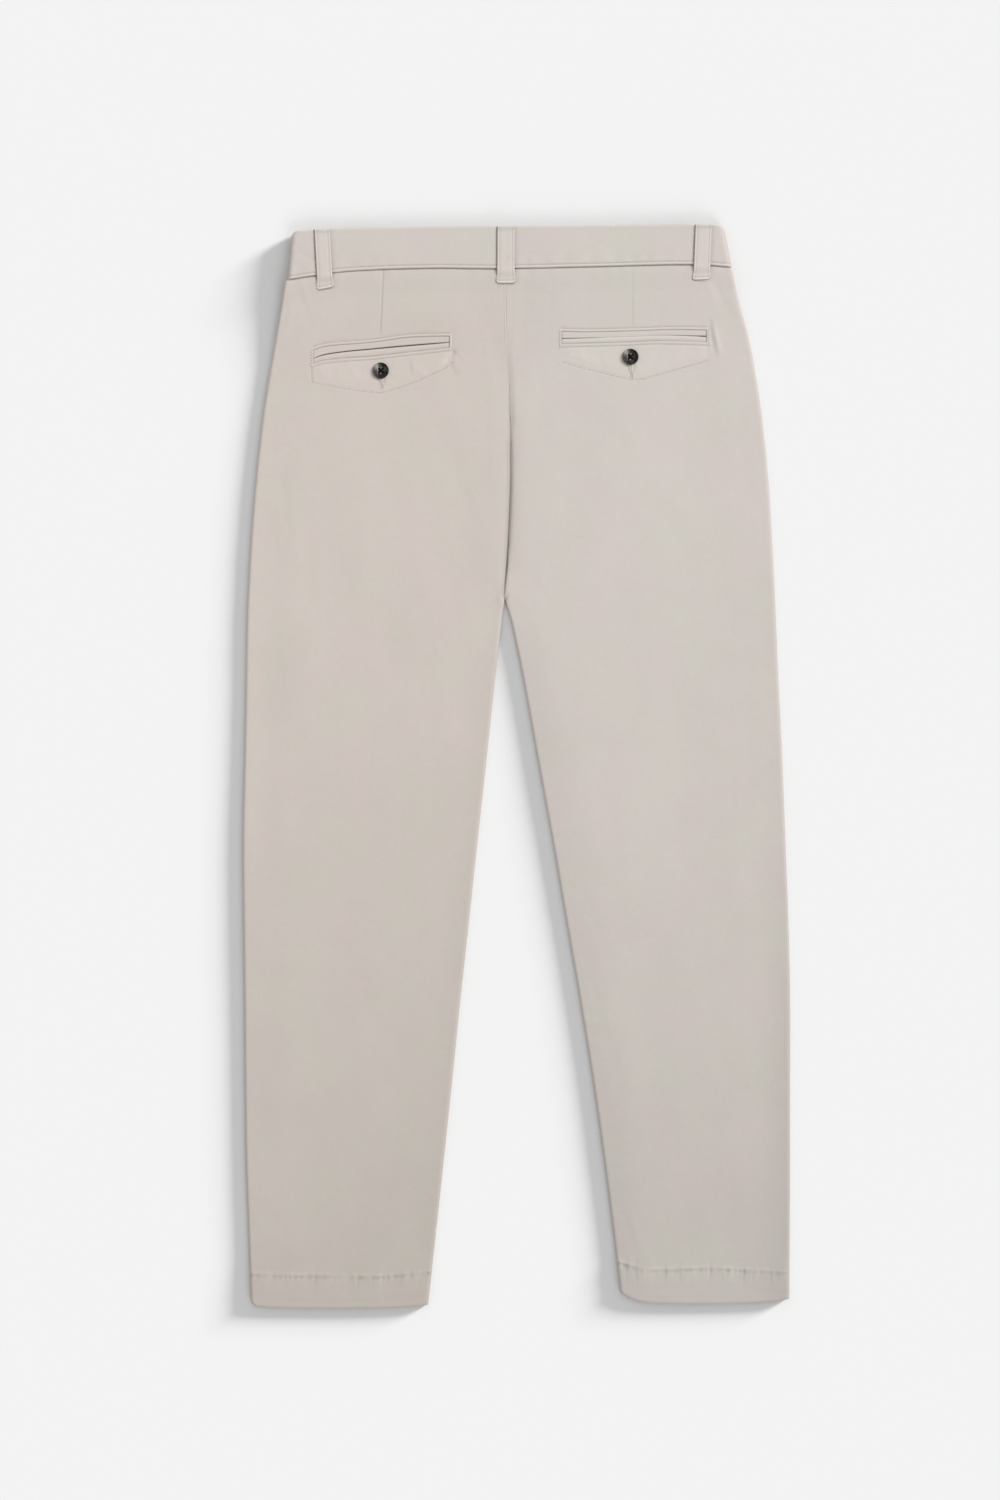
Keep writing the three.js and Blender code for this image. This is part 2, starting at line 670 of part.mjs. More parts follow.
const trousers = new THREE.Group();
trousers.name = "chino_trousers";
for (const half of Object.values(halves)) {
  trousers.add(named(`back_${half.name}`, backPanel(half)));
  trousers.add(named(`front_${half.name}`, frontPanel(half)));
  trousers.add(named(`front_pocket_${half.name}`, frontPocket(half)));
  trousers.add(named(`waistband_${half.name}`, waistband(half)));
}
for (const loop of loops) trousers.add(named(loop.node, backLoop(loop)));
for (const loop of frontLoops) trousers.add(named(loop.node, frontLoop(loop)));
for (const pocket of pockets) {
  const { upper, lower } = welts(pocket);
  trousers.add(named(`pocket_welt_upper_${pocket.name}`, upper));
  trousers.add(named(`pocket_welt_lower_${pocket.name}`, lower));
  const disc = named(`pocket_button_${pocket.name}`, buttonGeometry(), darkHorn);
  const { x, down } = pocket.button;
  const panelTops = [-1, 0, 1].map((k) => bodyTop(halves[pocket.name], x + k * button.radius, down));
  disc.position.copy(pointAt(x, down, Math.max(...panelTops) + facingLift + seamGap));
  trousers.add(disc);
}

export default trousers;
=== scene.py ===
import math
import bpy
import numpy as np
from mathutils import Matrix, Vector


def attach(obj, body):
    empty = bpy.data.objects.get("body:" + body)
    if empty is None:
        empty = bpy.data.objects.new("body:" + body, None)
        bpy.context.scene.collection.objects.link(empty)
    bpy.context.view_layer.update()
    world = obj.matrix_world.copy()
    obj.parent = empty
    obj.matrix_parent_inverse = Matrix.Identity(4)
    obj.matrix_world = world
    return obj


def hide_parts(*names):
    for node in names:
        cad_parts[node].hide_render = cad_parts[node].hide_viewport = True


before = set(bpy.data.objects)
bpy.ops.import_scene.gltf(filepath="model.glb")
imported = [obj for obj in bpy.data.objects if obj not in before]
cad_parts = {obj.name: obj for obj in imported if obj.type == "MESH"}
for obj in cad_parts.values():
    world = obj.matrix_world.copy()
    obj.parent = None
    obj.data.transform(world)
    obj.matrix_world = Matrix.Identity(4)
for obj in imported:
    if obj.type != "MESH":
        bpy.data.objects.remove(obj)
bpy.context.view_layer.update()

# Chino trousers lying flat with their back up, seen from straight above. Sizes are in mm up to the
# point where a mesh is made. "Down" is the distance below the waistband's highest point, and
# "fall" the distance below the waistband's lower edge. The wearer's left leg is at -X.

garment = {
    "highestY": 520.4,
    "clothWall": 1.5,
    "hemWall": 2.1,
    "bandWall": 2.4,
    "trimWall": 1.3,
    "seamGap": 0.3,
    "tuckDepth": 9,      # how far the panels reach up inside the waistband
    "crotch": 356,
    "frontDip": 22,      # the waistband is lower at the centre front
    "bandTopZ": 11.4,
    "legTopZ": 6.0,
    "hemTopZ": 6.3,
    "edgeDrop": 0.7,
    "edgeReach": 45,
    "settleFall": 90,
    "lipWidth": 12,      # from a leg's edge to its seam on the underside
    "shortLip": 5,
    "bandMean": 42,      # the waistband's lower edge on average
    "hemMean": 1039,
    "hemStitchMean": 1008,
    "centreGap": 0.02,   # from the centre line to each half, above the crotch
}
loopLayer = garment["trimWall"] + garment["seamGap"]
waistLowZ = loopLayer + garment["bandWall"] + garment["seamGap"]
waistTopZ = garment["bandTopZ"] - garment["bandWall"] - garment["seamGap"]
seamGap = garment["seamGap"]


# Small mathematics, all on whole arrays

def ramp(x, start, end):  # an S-shaped rise from 0 at start to 1 at end
    t = np.clip((np.asarray(x, float) - start) / (end - start), 0, 1)
    return t * t * (3 - 2 * t)


def mix(a, b, t):  # in a straight line from a at 0 to b at 1
    return a + (b - a) * t


def soft(distance, width):  # a bell curve, 1 on the line and 0.37 at the width
    return np.exp(-(np.asarray(distance) / width) ** 2)


def nearness(distance, reach):  # 1 on the line, down to 0 at the reach
    return 1 - ramp(np.abs(distance), 0, reach)


def quarterRound(distance, radius):  # how far a quarter circle lies back, 1 at the edge and 0 at the radius
    return 1 - np.sqrt(np.clip(1 - (1 - np.clip(distance / radius, 0, 1)) ** 2, 0, 1))


def curveThrough(rows, column=1):  # a smooth curve through a table's rows, whose first column is the place
    table = np.array(rows, float)
    at, value = table[:, 0], table[:, column]
    before = np.maximum(np.arange(len(at)) - 1, 0)
    after = np.minimum(np.arange(len(at)) + 1, len(at) - 1)
    slope = (value[after] - value[before]) / (at[after] - at[before])

    def curve(x):  # between two rows, the cubic with their values and slopes
        held = np.clip(x, at[0], at[-1])
        i = np.clip(np.searchsorted(at, held, side="right") - 1, 0, len(at) - 2)
        span = at[i + 1] - at[i]
        s = (held - at[i]) / span
        bend = (2 * s - 3) * s * s
        lean = s * (1 - s) * ((1 - s) * slope[i] - s * slope[i + 1])
        return (1 + bend) * value[i] - bend * value[i + 1] + span * lean

    return curve


def stepsThrough(stretches):  # places along a line, from rows of from, to and spacing
    parts = [np.linspace(a, b, max(1, round((b - a) / gap)), endpoint=False) for a, b, gap in stretches]
    return np.append(np.concatenate(parts), stretches[-1][1])


def toLine(x, down, line):
    # distance from each point to a line through points (x, down), and how far along it that is, 0 to 1
    points = np.array(line, float)
    lengths = np.hypot(*(points[1:] - points[:-1]).T)
    before = np.concatenate([[0], np.cumsum(lengths)])
    best = np.full(np.shape(x), 1e9)
    along = np.zeros(np.shape(x))
    for (ax, ad), (bx, bd), length, start in zip(points[:-1], points[1:], lengths, before):
        t = np.clip(((x - ax) * (bx - ax) + (down - ad) * (bd - ad)) / length ** 2, 0, 1)
        gap = np.hypot(x - mix(ax, bx, t), down - mix(ad, bd, t))
        nearer = gap < best
        best = np.where(nearer, gap, best)
        along = np.where(nearer, (start + t * length) / before[-1], along)
    return best, along


# The garment's outline, as down, X of the outer edge, X of the inner edge
leftLeg = [
    (30, -217.6, -10.2), (72, -224.6, -9.9), (110, -231.3, -9.1), (149, -238.3, -7.0),
    (187, -244.0, -6.3), (245, -250.4, -5.6), (302, -255.0, -7.6), (345, -257.4, -10.6),
    (362, -258.3, -11.7), (372, -258.7, -13.2), (398, -259.3, -16.2), (437, -259.9, -20.7),
    (514, -261.3, -28.8), (590, -262.9, -37.2), (667, -262.3, -45.4), (744, -261.4, -53.8),
    (821, -260.9, -61.7), (898, -259.9, -69.8), (974, -257.3, -78.1), (1040, -255.0, -85.2),
]
rightLeg = [
    (30, 203.8, -10.2), (72, 213.2, -9.9), (110, 223.4, -9.1), (149, 230.7, -7.0),
    (187, 236.1, -6.0), (245, 242.0, -5.2), (302, 245.5, -7.4), (348, 247.9, -11.4),
    (362, 248.5, -10.4), (380, 249.3, -5.4), (437, 251.7, 6.5), (514, 255.4, 20.4),
    (590, 258.3, 34.3), (667, 261.2, 47.5), (744, 262.9, 60.8), (821, 262.8, 73.2),
    (898, 262.8, 84.1), (974, 262.4, 93.8), (1040, 261.8, 101.0),
]
bandEdges = [  # X, down of the waistband's upper edge, down of its lower edge
    (-220, 7.2, 53.4), (-193, 5.0, 49.2), (-160, 3.8, 44.9), (-83, 2.4, 42.2),
    (-20, 1.9, 42.6), (70, 1.3, 40.8), (169, 0.2, 38.7), (207, 1.2, 41.3),
]
leftHem = [
    (-256, 1033.5), (-250, 1038.6), (-194, 1040.6), (-140, 1040.4), (-100, 1038.9), (-84, 1037.0),
]
rightHem = [
    (98, 1024.0), (108, 1030.6), (120, 1034.4), (150, 1036.2), (205, 1036.0), (245, 1034.2),
    (262, 1031.2),
]
leftHemStitch = [
    (-256, 1008.3), (-224, 1010.0), (-194, 1010.0), (-154, 1010.7), (-127, 1010.4), (-81, 1006.0),
]
rightHemStitch = [
    (96, 996.5), (116, 1002.6), (122, 1004.4), (154, 1003.9), (182, 1003.0), (203, 1003.9),
    (227, 1005.1), (260, 1007.0),
]
bandTop = curveThrough(bandEdges, 1)
bandBottom = curveThrough(bandEdges, 2)

left = {
    "name": "left", "inward": 1, "sideTop": -215.5, "sideBottom": -219.9,
    "outer": curveThrough(leftLeg, 1), "inner": curveThrough(leftLeg, 2),
    "hem": curveThrough(leftHem), "hemStitch": curveThrough(leftHemStitch),
}
right = {
    "name": "right", "inward": -1, "sideTop": 198.6, "sideBottom": 206.8,
    "outer": curveThrough(rightLeg, 1), "inner": curveThrough(rightLeg, 2),
    "hem": curveThrough(rightHem), "hemStitch": curveThrough(rightHemStitch),
}

# The centre-back fold: the left half lies over the right one
fold = {"over": 5, "lift": 0.9, "dip": 0.95, "reach": 48, "rise": (140, 225, 330, 356),
        "lap": (187, 214, 300, 327)}

# Broad folds of the back: X, from, to, reach, height
broadFolds = [
    (-205, 190, 560, 34, 0.35), (-120, 150, 480, 30, -0.35), (-215, 560, 1000, 40, 0.3),
    (-115, 600, 1010, 38, -0.5), (75, 190, 520, 34, 0.35), (160, 230, 700, 36, -0.35),
    (215, 520, 980, 34, 0.3), (130, 620, 1010, 30, -0.4),
]

# Small creases: X and down of each end, half width, height
creases = [
    (-226, 232, -218, 300, 5, -0.16), (-214, 262, -206, 352, 7, 0.14), (-232, 395, -222, 470, 6, -0.12),
    (-196, 300, -203, 410, 9, -0.12), (-150, 236, -140, 330, 8, 0.1), (-62, 210, -40, 292, 6, -0.14),
    (-34, 150, -24, 236, 5, -0.1), (-28, 120, -16, 178, 4, 0.12), (-48, 352, -34, 420, 7, 0.12),
    (-92, 528, -60, 560, 6, 0.1), (-215, 560, -150, 566, 7, -0.09), (-250, 938, -214, 968, 4, -0.14),
    (-250, 958, -206, 990, 4.5, 0.15), (-246, 980, -190, 1000, 4, -0.12), (-230, 700, -205, 712, 6, 0.1),
    (-120, 760, -96, 850, 9, -0.12), (-170, 880, -160, 985, 10, 0.12), (64, 496, 128, 500, 4, -0.12),
    (58, 512, 112, 522, 5, 0.1), (60, 628, 84, 690, 4, -0.1), (72, 676, 98, 760, 5, 0.12),
    (66, 700, 90, 800, 3.5, -0.11), (86, 770, 104, 850, 5, -0.09), (100, 940, 118, 1000, 3.5, -0.13),
    (108, 950, 132, 1002, 4, 0.12), (30, 300, 22, 380, 6, 0.12), (8, 330, 40, 372, 5, -0.1),
    (2, 352, 34, 408, 4, 0.14), (18, 130, 8, 210, 6, 0.12), (212, 180, 224, 262, 6, -0.12),
    (222, 420, 226, 560, 7, -0.1), (186, 300, 176, 420, 9, 0.1), (140, 850, 220, 862, 8, -0.08),
    (150, 880, 236, 872, 9, 0.08), (210, 900, 206, 960, 7, -0.12), (185.6, 92, 192, 127, 1.9, -0.62),
    (189.5, 96, 196, 124, 2.2, 0.3),
    (-63, 119, -56, 126, 1.2, -0.4), (-57, 118, -63, 128, 1.2, -0.35), (-66, 128, -56, 146, 2.2, -0.25),
    (-76, 136, -66, 128, 2.4, 0.3), (-103, 131, -100.5, 144, 1.8, -0.3), (-96, 134, -88, 146, 3, 0.22),
    (-160, 136, -150, 150, 3, 0.2), (-178, 138, -172, 150, 2.4, -0.2), (-188, 143, -196, 156, 2, 0.22),
    (60, 118, 66, 134, 3, 0.18), (78, 122, 84, 140, 3, -0.16), (138, 118, 132, 136, 3, -0.16),
    (160, 116, 152, 134, 3, 0.18), (-210, 58, -196, 100, 4, -0.22), (-204, 60, -200, 84, 2.5, 0.2),
    (-214, 74, -222, 112, 3.5, 0.2), (190, 52, 204, 86, 3.5, -0.22), (183, 54, 190, 74, 2.5, 0.2),
    (206, 60, 214, 96, 3, 0.2), (-48, 52, -60, 86, 4, 0.12), (36, 54, 30, 92, 4, -0.12),
    (-12, 60, -4, 118, 3, -0.18), (2, 62, -4, 130, 3.5, 0.16),
]
hemPuckers = {  # X of each, half width, height
    "left": [(-193, 1.0, -0.35), (-152, 1.0, -0.35), (-240, 2.2, 0.2), (-216, 2.6, 0.18), (-173, 2.4, 0.18),
             (-131, 2.2, 0.16), (-112, 2.4, -0.2), (-96, 2.0, 0.2)],
    "right": [(106, 1.4, -0.4), (115, 1.1, -0.45), (143, 1.2, -0.4), (157, 1.1, -0.3), (186, 1.1, -0.4),
              (197, 1.0, -0.3), (218, 1.1, -0.4), (227, 1.0, -0.35), (244, 1.0, -0.35), (130, 2.4, 0.2),
              (171, 2.8, 0.2), (207, 2.4, 0.18), (236, 2.2, 0.16)],
}


# Where the body is

def shareOf(stretch, down):  # comes in between the first two places and goes between the last two
    return ramp(down, stretch[0], stretch[1]) * (1 - ramp(down, stretch[2], stretch[3]))


def innerEdge(half, down):
    # X of a panel's inner edge: just short of the centre line above the crotch, and along the fold the
    # right panel reaches on under the left one
    above = 1 - ramp(down, garment["crotch"], garment["crotch"] + 8)
    seam = half["inner"](down) - half["inward"] * garment["centreGap"] * above
    return seam - fold["over"] * shareOf(fold["lap"], down) if half is right else seam


def settled(fall):  # how far a panel has come down to the surface, 0 at the waistband and 1 at settleFall
    return ramp(fall, 3, garment["settleFall"])


def bodyLow(fall):  # height of the underside, from the waistband's wall down to the surface
    return mix(waistLowZ, 0, settled(fall))


def bodyTop(half, x, down):
    # height of a back panel's top: it comes down from the waistband to the lying legs, drops a little
    # towards the rolled edges, parts at the centre-back fold and carries the broad folds
    onLand = settled(down - bandBottom(x))
    fromInner = x - half["inner"](down)
    z = mix(waistTopZ, garment["legTopZ"], onLand)
    z = z - garment["edgeDrop"] * onLand * nearness(x - half["outer"](down), garment["edgeReach"])
    z = z - garment["edgeDrop"] * ramp(down, 300, 400) * nearness(fromInner, garment["edgeReach"])
    rise = fold["lift"] if half is left else -fold["dip"]
    z = z + rise * shareOf(fold["rise"], down) * nearness(fromInner, fold["reach"])
    for at, start, end, reach, height in broadFolds:
        share = np.sin(np.pi * np.clip((down - start) / (end - start), 0, 1)) ** 2
        z = z + height * share * nearness(x - at, reach)
    return mix(z, garment["hemTopZ"], ramp(down, 975, 1015))


# Back pockets: two welts in a window of the panel, and a pointed facing stitched through below it.
# Places are X and down.
pockets = {
    "left": {
        "fromX": -195.4, "toX": -64.4, "mouthMean": 120, "endStitches": (1.6, 3.4),
        "mouth": [(-196.6, 129.2), (-186, 125.2), (-165.2, 121.9), (-139, 119.4), (-112.4, 116.9),
                  (-85.7, 114.7), (-60.8, 112.7)],
        "above": [(-195, 8.0), (-180, 7.4), (-155, 6.3), (-133, 6.4), (-107, 7.7), (-90, 7.3), (-64, 5.7)],
        "below": [(-195, 4.6), (-171, 5.8), (-139, 6.8), (-107, 6.1), (-64, 4.8)],
        "gape": [(-196, 0.05), (-188, 0.3), (-160, 0.36), (-130, 0.44), (-104, 0.5), (-75, 0.36),
                 (-64, 0.12)],
        "facing": [(-196.9, 137.6), (-196.2, 150.9), (-185, 153.6), (-161.6, 157.8), (-143, 160.2),
                   (-130.2, 161.2), (-112.8, 156.7), (-91.7, 148.6), (-68.6, 138.1), (-61.0, 132.2),
                   (-60.6, 122.0)],
        "button": (-130.2, 140.2), "buttonhole": (147.6, 157.6),
    },
    "right": {
        "fromX": 43.0, "toX": 182.4, "mouthMean": 108, "endStitches": (1.6, 1.8),
        "mouth": [(42, 109.5), (74.3, 108.6), (114.4, 107.3), (143.5, 106.2), (184.6, 107.3)],
        "above": [(43, 6.8), (69, 5.5), (106, 5.2), (127, 5.0), (144, 5.1), (183, 5.9)],
        "below": [(43, 4.8), (80, 4.9), (106, 5.1), (127, 4.7), (144, 5.2), (183, 5.3)],
        "gape": [(43, 0.2), (74, 0.1), (90, 0.03), (136, 0.03), (150, 0.1), (174, 0.2), (178, 0.4),
                 (184, 0.3)],
        "facing": [(43.6, 131.6), (69.1, 138.9), (104, 147.4), (112.1, 148.9), (121.4, 148.2), (144.7, 141.4),
                   (178.5, 132.0), (184.0, 129.8)],
        "button": (109.4, 127.0), "buttonhole": (135.4, 147.4),
    },
}
for pocket in pockets.values():
    pocket["mouthDown"] = curveThrough(pocket["mouth"])
    pocket["upperWidth"] = curveThrough(pocket["above"])
    pocket["lowerWidth"] = curveThrough(pocket["below"])
    pocket["halfGape"] = curveThrough(pocket["gape"])
pocketForm = {"weltSink": 0.45, "recess": 1.3, "slitDepth": 3.0, "ridge": 0.3, "stitchOff": 2.9,
              "grooveDepth": 0.32, "puff": 0.5}
darts = {"left": [(-127.6, 43), (-129.2, 75), (-130.9, 107)],
         "right": [(111.8, 42), (111.6, 70), (111.3, 99)]}
dartDepth = {"left": 0.32, "right": 0.16}

# Broad soft patches of painted shade and light: X and down of the middle, reach across and down, and how much
# lighter
paintedShadePatches = {
    "left": [(-126, 965, 42, 90, -0.12), (-12, 85, 26, 45, -0.1), (-236, 925, 34, 60, 0.14),
             (-250, 480, 14, 170, 0.14), (-235, 1010, 40, 30, -0.12), (-16, 360, 5, 11, -0.32)],
    "right": [(214, 380, 30, 60, -0.14), (15, 85, 26, 45, -0.12)],
}
paintedEdgeShade = {
    # painted shade towards the inseams and the right leg's outseam, where the cloth turns away
    "inseam": {"left": 0.15, "right": 0.21}, "inseamReach": 24,
    "outseam": {"left": 0, "right": 0.34}, "outseamReach": 26,
    # rolled edges are painted lighter where they face left and inside the crevice, and painted darker where
    # they face right, as light and shade
    "facingLeft": 1.0, "facingRight": -0.55, "crevice": 2.0,
}


def fromWindow(pocket, x, down):  # distance above or below the pocket's window, negative between its edges
    off = down - pocket["mouthDown"](x)
    return np.where(off < 0, -off - pocket["upperWidth"](x), off - pocket["lowerWidth"](x)) - seamGap


def windowDistance(pocket, x, down):  # distance outside the pocket's window, negative inside it
    across = np.maximum(pocket["fromX"] - x, x - pocket["toX"])
    up = fromWindow(pocket, x, down)
    outside = np.hypot(np.maximum(across, 0), np.maximum(up, 0))
    return np.where(np.maximum(across, up) > 0, outside, np.maximum(across, up))


def insideFacing(pocket, x, down):  # distance inside the facing's stitched outline, less than 0 outside it
    line = np.array(pocket["facing"], float)
    rising = np.concatenate([[True], np.diff(line[:, 0]) > 1])  # without the upright ends
    edge = np.interp(x, line[rising, 0], line[rising, 1])
    return np.minimum(edge - down, np.minimum(x - line[0, 0], line[-1, 0] - x))


# Relief of a back panel: each part adds to the height, and to the shade painted into the cloth's colour,
# which is above 0 (painted light) on a ridge and below 0 (painted shade) in a groove

def creasedCloth(half, x, down):
    # low waves that cross each other and fade out at the waistband, and the listed creases
    fall = down - bandBottom(x)
    height = 0.16 * np.sin(x / 37 + down / 91 + 1.3) + 0.12 * np.sin(x / 21 - down / 57 + 0.4)
    height = height + 0.07 * np.sin(x / 13 + down / 33 + 2.1) * np.sin(down / 71 + x / 90)
    height = height + 0.05 * np.sin(x / 6.3 - down / 19 + 2 * np.sin(down / 83)) * np.sin(x / 31 + down / 47)
    height = height * ramp(fall, 0, 30)
    shade = 0 * height
    for ax, ad, bx, bd, width, lift in creases:  # those that start on this half or end on the left one
        if (ax < -9) == (half is left) or bx < -9:
            gap, along = toLine(x, down, [(ax, ad), (bx, bd)])
            # each crease is painted lighter on its ridge and darker in its groove, as light and shade
            line = lift * soft(gap, width) * np.sin(np.pi * np.clip(along, 0.04, 0.96)) ** 0.5
            height, shade = height + line, shade + (1.1 if abs(lift) > 0.24 else 0.3) * line
    return height, shade


def underBand(half, x, down, height, shade):
    # the cloth swells out from under the waistband's edge, with small puckers, and is painted lighter along
    # the edge
    fall = down - bandBottom(x)
    pucker = np.sin(x / 2.9 + 1.7 * np.sin(x / 17)) * np.sin(x / 23 + 0.6)
    height = height + 0.16 * pucker * soft(fall - 2, 8) + 1.5 * ramp(fall, 0.3, 1.8) * (1 - ramp(fall, 3, 26))
    shade = shade + 0.35 * soft(fall, 0.9)
    return height, shade


def dartFold(half, x, down, height, shade):
    # a groove along the dart, whose cloth is folded towards the middle, so one side stands higher; the groove
    # is painted darker, as shade
    name = half["name"]
    gap, along = toLine(x, down, darts[name])
    lineX = np.interp(down, [p[1] for p in darts[name]], [p[0] for p in darts[name]])
    fade = (1 - ramp(along, 0.9, 1)) * (down < darts[name][-1][1] + 2)
    height = height - dartDepth[name] * soft(gap, 0.8) * fade
    height = height + 0.35 * dartDepth[name] * np.where(x > lineX, soft(gap, 5), 0) * fade
    shade = shade - 1.7 * dartDepth[name] * soft(gap, 0.7) * fade
    return height, shade


def pocketWindow(half, x, down, height, shade):
    # a sunk window with a folded edge round it and a groove along each row of stitches
    pocket, form = pockets[half["name"]], pocketForm
    edge = windowDistance(pocket, x, down)
    slit = np.abs(down - pocket["mouthDown"](x)) - pocket["halfGape"](x)
    within = (x > pocket["fromX"]) & (x < pocket["toX"])
    sunk = form["recess"] + (form["slitDepth"] - form["recess"]) * (1 - ramp(slit, 0.5, 1.2))
    height = height - sunk * (1 - ramp(edge, -0.8, 0.1)) + form["ridge"] * soft(edge - 1.3, 1.1)
    lineUp = fromWindow(pocket, x, down) - form["stitchOff"]
    middleX, halfLength = (pocket["fromX"] + pocket["toX"]) / 2, (pocket["toX"] - pocket["fromX"]) / 2
    groove = soft(lineUp, 0.75) * (1 - ramp(np.abs(x - middleX), halfLength, halfLength + 1.5))
    fromOff, toOff = pocket["endStitches"]
    ends = soft(np.minimum(np.abs(x - pocket["fromX"] + fromOff), np.abs(x - pocket["toX"] - toOff)), 0.7)
    ends = ends * (1 - ramp(np.abs(down - pocket["mouthDown"](x)), 8.5, 10.5))
    height = height - form["grooveDepth"] * groove - 0.22 * ends
    # painted light on the folded edge; painted shade in the grooves, at the stitched ends, round the window
    # and in the slit where it gapes; painted light where the slit is closed
    shade = shade + 0.35 * soft(edge - 1.3, 0.8) - 0.5 * groove - 0.35 * ends - 0.9 * soft(edge, 0.5)
    shade = shade - (1.8 * ramp(pocket["halfGape"](x), 0.04, 0.2) - 0.9) * (1 - ramp(slit, 0.3, 1.0)) * within
    return height, shade


def facingOutline(half, x, down, height, shade):
    # a groove along the facing's stitched outline, with the cloth puffed a little inside it
    pocket, form = pockets[half["name"]], pocketForm
    gap = toLine(x, down, pocket["facing"])[0]
    inside = insideFacing(pocket, x, down)
    below = ramp(down - pocket["mouthDown"](x), 7, 11)
    height = height + form["puff"] * ramp(inside, 0, 9) * below * (1 - 0.4 * ramp(inside, 9, 20))
    height = height - form["grooveDepth"] * 0.8 * soft(gap, 0.75) + 0.1 * soft(gap - 2.4, 1.6)
    # painted shade in the groove and painted light on the puffed cloth inside it
    shade = shade - 0.3 * soft(gap, 0.7) + 0.1 * ramp(inside, 0, 2) * below
    return height, shade


def buttonholeFan(half, x, down, height, shade):
    # a slit below the button, two short lines beside it, and creases that fan out from the button; the slit
    # and the lines are also painted darker, as shade
    pocket = pockets[half["name"]]
    bx, bd = pocket["button"]
    holeFrom, holeTo = pocket["buttonhole"]
    gap, along = toLine(x, down, [(bx + 0.4, holeFrom), (bx + 1.4, holeTo)])
    height = height - 0.4 * soft(gap, 0.5)
    shade = shade - 0.6 * soft(gap, 0.5)
    for start, lift in ((-3.2, 1.0), (4.4, 0.6)):
        gap, along = toLine(x, down, [(bx + start, holeFrom - 2), (bx + 1.6, holeTo)])
        height = height - 0.4 * lift * soft(gap, 0.7) * (1 - ramp(along, 0.8, 1))
        shade = shade - 0.9 * lift * soft(gap, 0.65) * (1 - ramp(along, 0.8, 1))
    angle = np.arctan2(x - bx, down - bd)
    away = np.hypot(x - bx, down - bd)
    fan = np.cos(9 * angle + 0.7 * np.sin(3 * angle)) * soft(away - 10, 6) * ramp(np.cos(angle), -0.3, 0.5)
    height = height + 0.13 * fan
    return height, shade


def seatFold(half, x, down, height, shade):
    # each half's edge rounds down, at a plain seam first and then at the fold, where the left half is higher;
    # painted light on the edges at the plain seam, painted shade along the fold and the valley beside it
    fromSeam = half["inward"] * (innerEdge(half, down) - x)
    flat = 1 - ramp(down, 344, 364)
    folded = shareOf((184, 222, 346, 362), down)
    valley = np.interp(down, (112, 126, 146, 188, 212), (0, 0.3, 0.6, 1, 0))
    height = height - flat * mix(0.03 * soft(fromSeam, 0.9), 0.9 * soft(fromSeam, 1.3), folded)
    shade = shade + flat * mix(0.5 * soft(fromSeam, 0.5) * (1 - valley), 0 * x, folded)
    stitched = 1 - ramp(down, 128, 140)
    if half is left:
        height = height - 0.08 * stitched * soft(fromSeam - 1.8, 0.7)
        height = height + 0.04 * stitched * soft(fromSeam - 4, 1.2)
        lower = shareOf((215, 290, 346, 362), down)
        height = height - 0.5 * lower * soft(fromSeam, 5)
        shade = shade - folded * (2.2 * soft(fromSeam, 0.9) + 0.35 * soft(fromSeam, 3))
        shade = shade - lower * 0.6 * soft(fromSeam, 2) - 0.6 * valley * soft(fromSeam, 1.7)
        shade = shade - 0.35 * shareOf((195, 215, 300, 340), down) * soft(fromSeam - 2.4, 1.6)
    else:
        line = fold["over"] * shareOf(fold["lap"], down)
        dipped = shareOf((160, 222, 300, 352), down)
        height = height - dipped * (0.9 * soft(fromSeam - line, 8) + 0.7 * soft(fromSeam - line, 2))
        shade = shade - folded * (2.4 * soft(fromSeam - line, 0.9) + 0.3 * soft(fromSeam - line, 4))
        shade = shade - 0.8 * valley * soft(fromSeam - 1.8, 3.2)
        shade = shade + 0.9 * soft(fromSeam, 0.9) * soft(down - 183, 12)  # painted light, where the crevice opens gently
    return height, shade


def legEdges(half, x, down, height, shade):
    # ripples where the seams draw a leg's edges in, broad patches of painted shade and light, and painted
    # shade along the edges
    name, fall = half["name"], down - bandBottom(x)
    fromSeam = half["inward"] * (innerEdge(half, down) - x)
    ripple = np.sin(down / 3.3 + 2 * np.sin(down / 29)) * ramp(down, 380, 470)
    height = height + 0.1 * ripple * soft(fromSeam - 6, 7) * (1 + 0.8 * soft(down - 790, 60))
    outseam = half["inward"] * (x - half["outer"](down))
    ripple = 0.07 * np.sin(down / 4.1 + 2 * np.sin(down / 37))
    height = height + ripple * soft(outseam - 6, 6) * ramp(fall, 10, 60)
    for atX, atDown, across, along, lighter in paintedShadePatches[name]:
        shade = shade + lighter * soft(x - atX, across) * soft(down - atDown, along)
    shade = shade - paintedEdgeShade["inseam"][name] * soft(fromSeam, paintedEdgeShade["inseamReach"]) * ramp(down, 340, 430)
    shade = shade - paintedEdgeShade["outseam"][name] * soft(outseam, paintedEdgeShade["outseamReach"]) * ramp(down, 250, 850)
    return height, shade


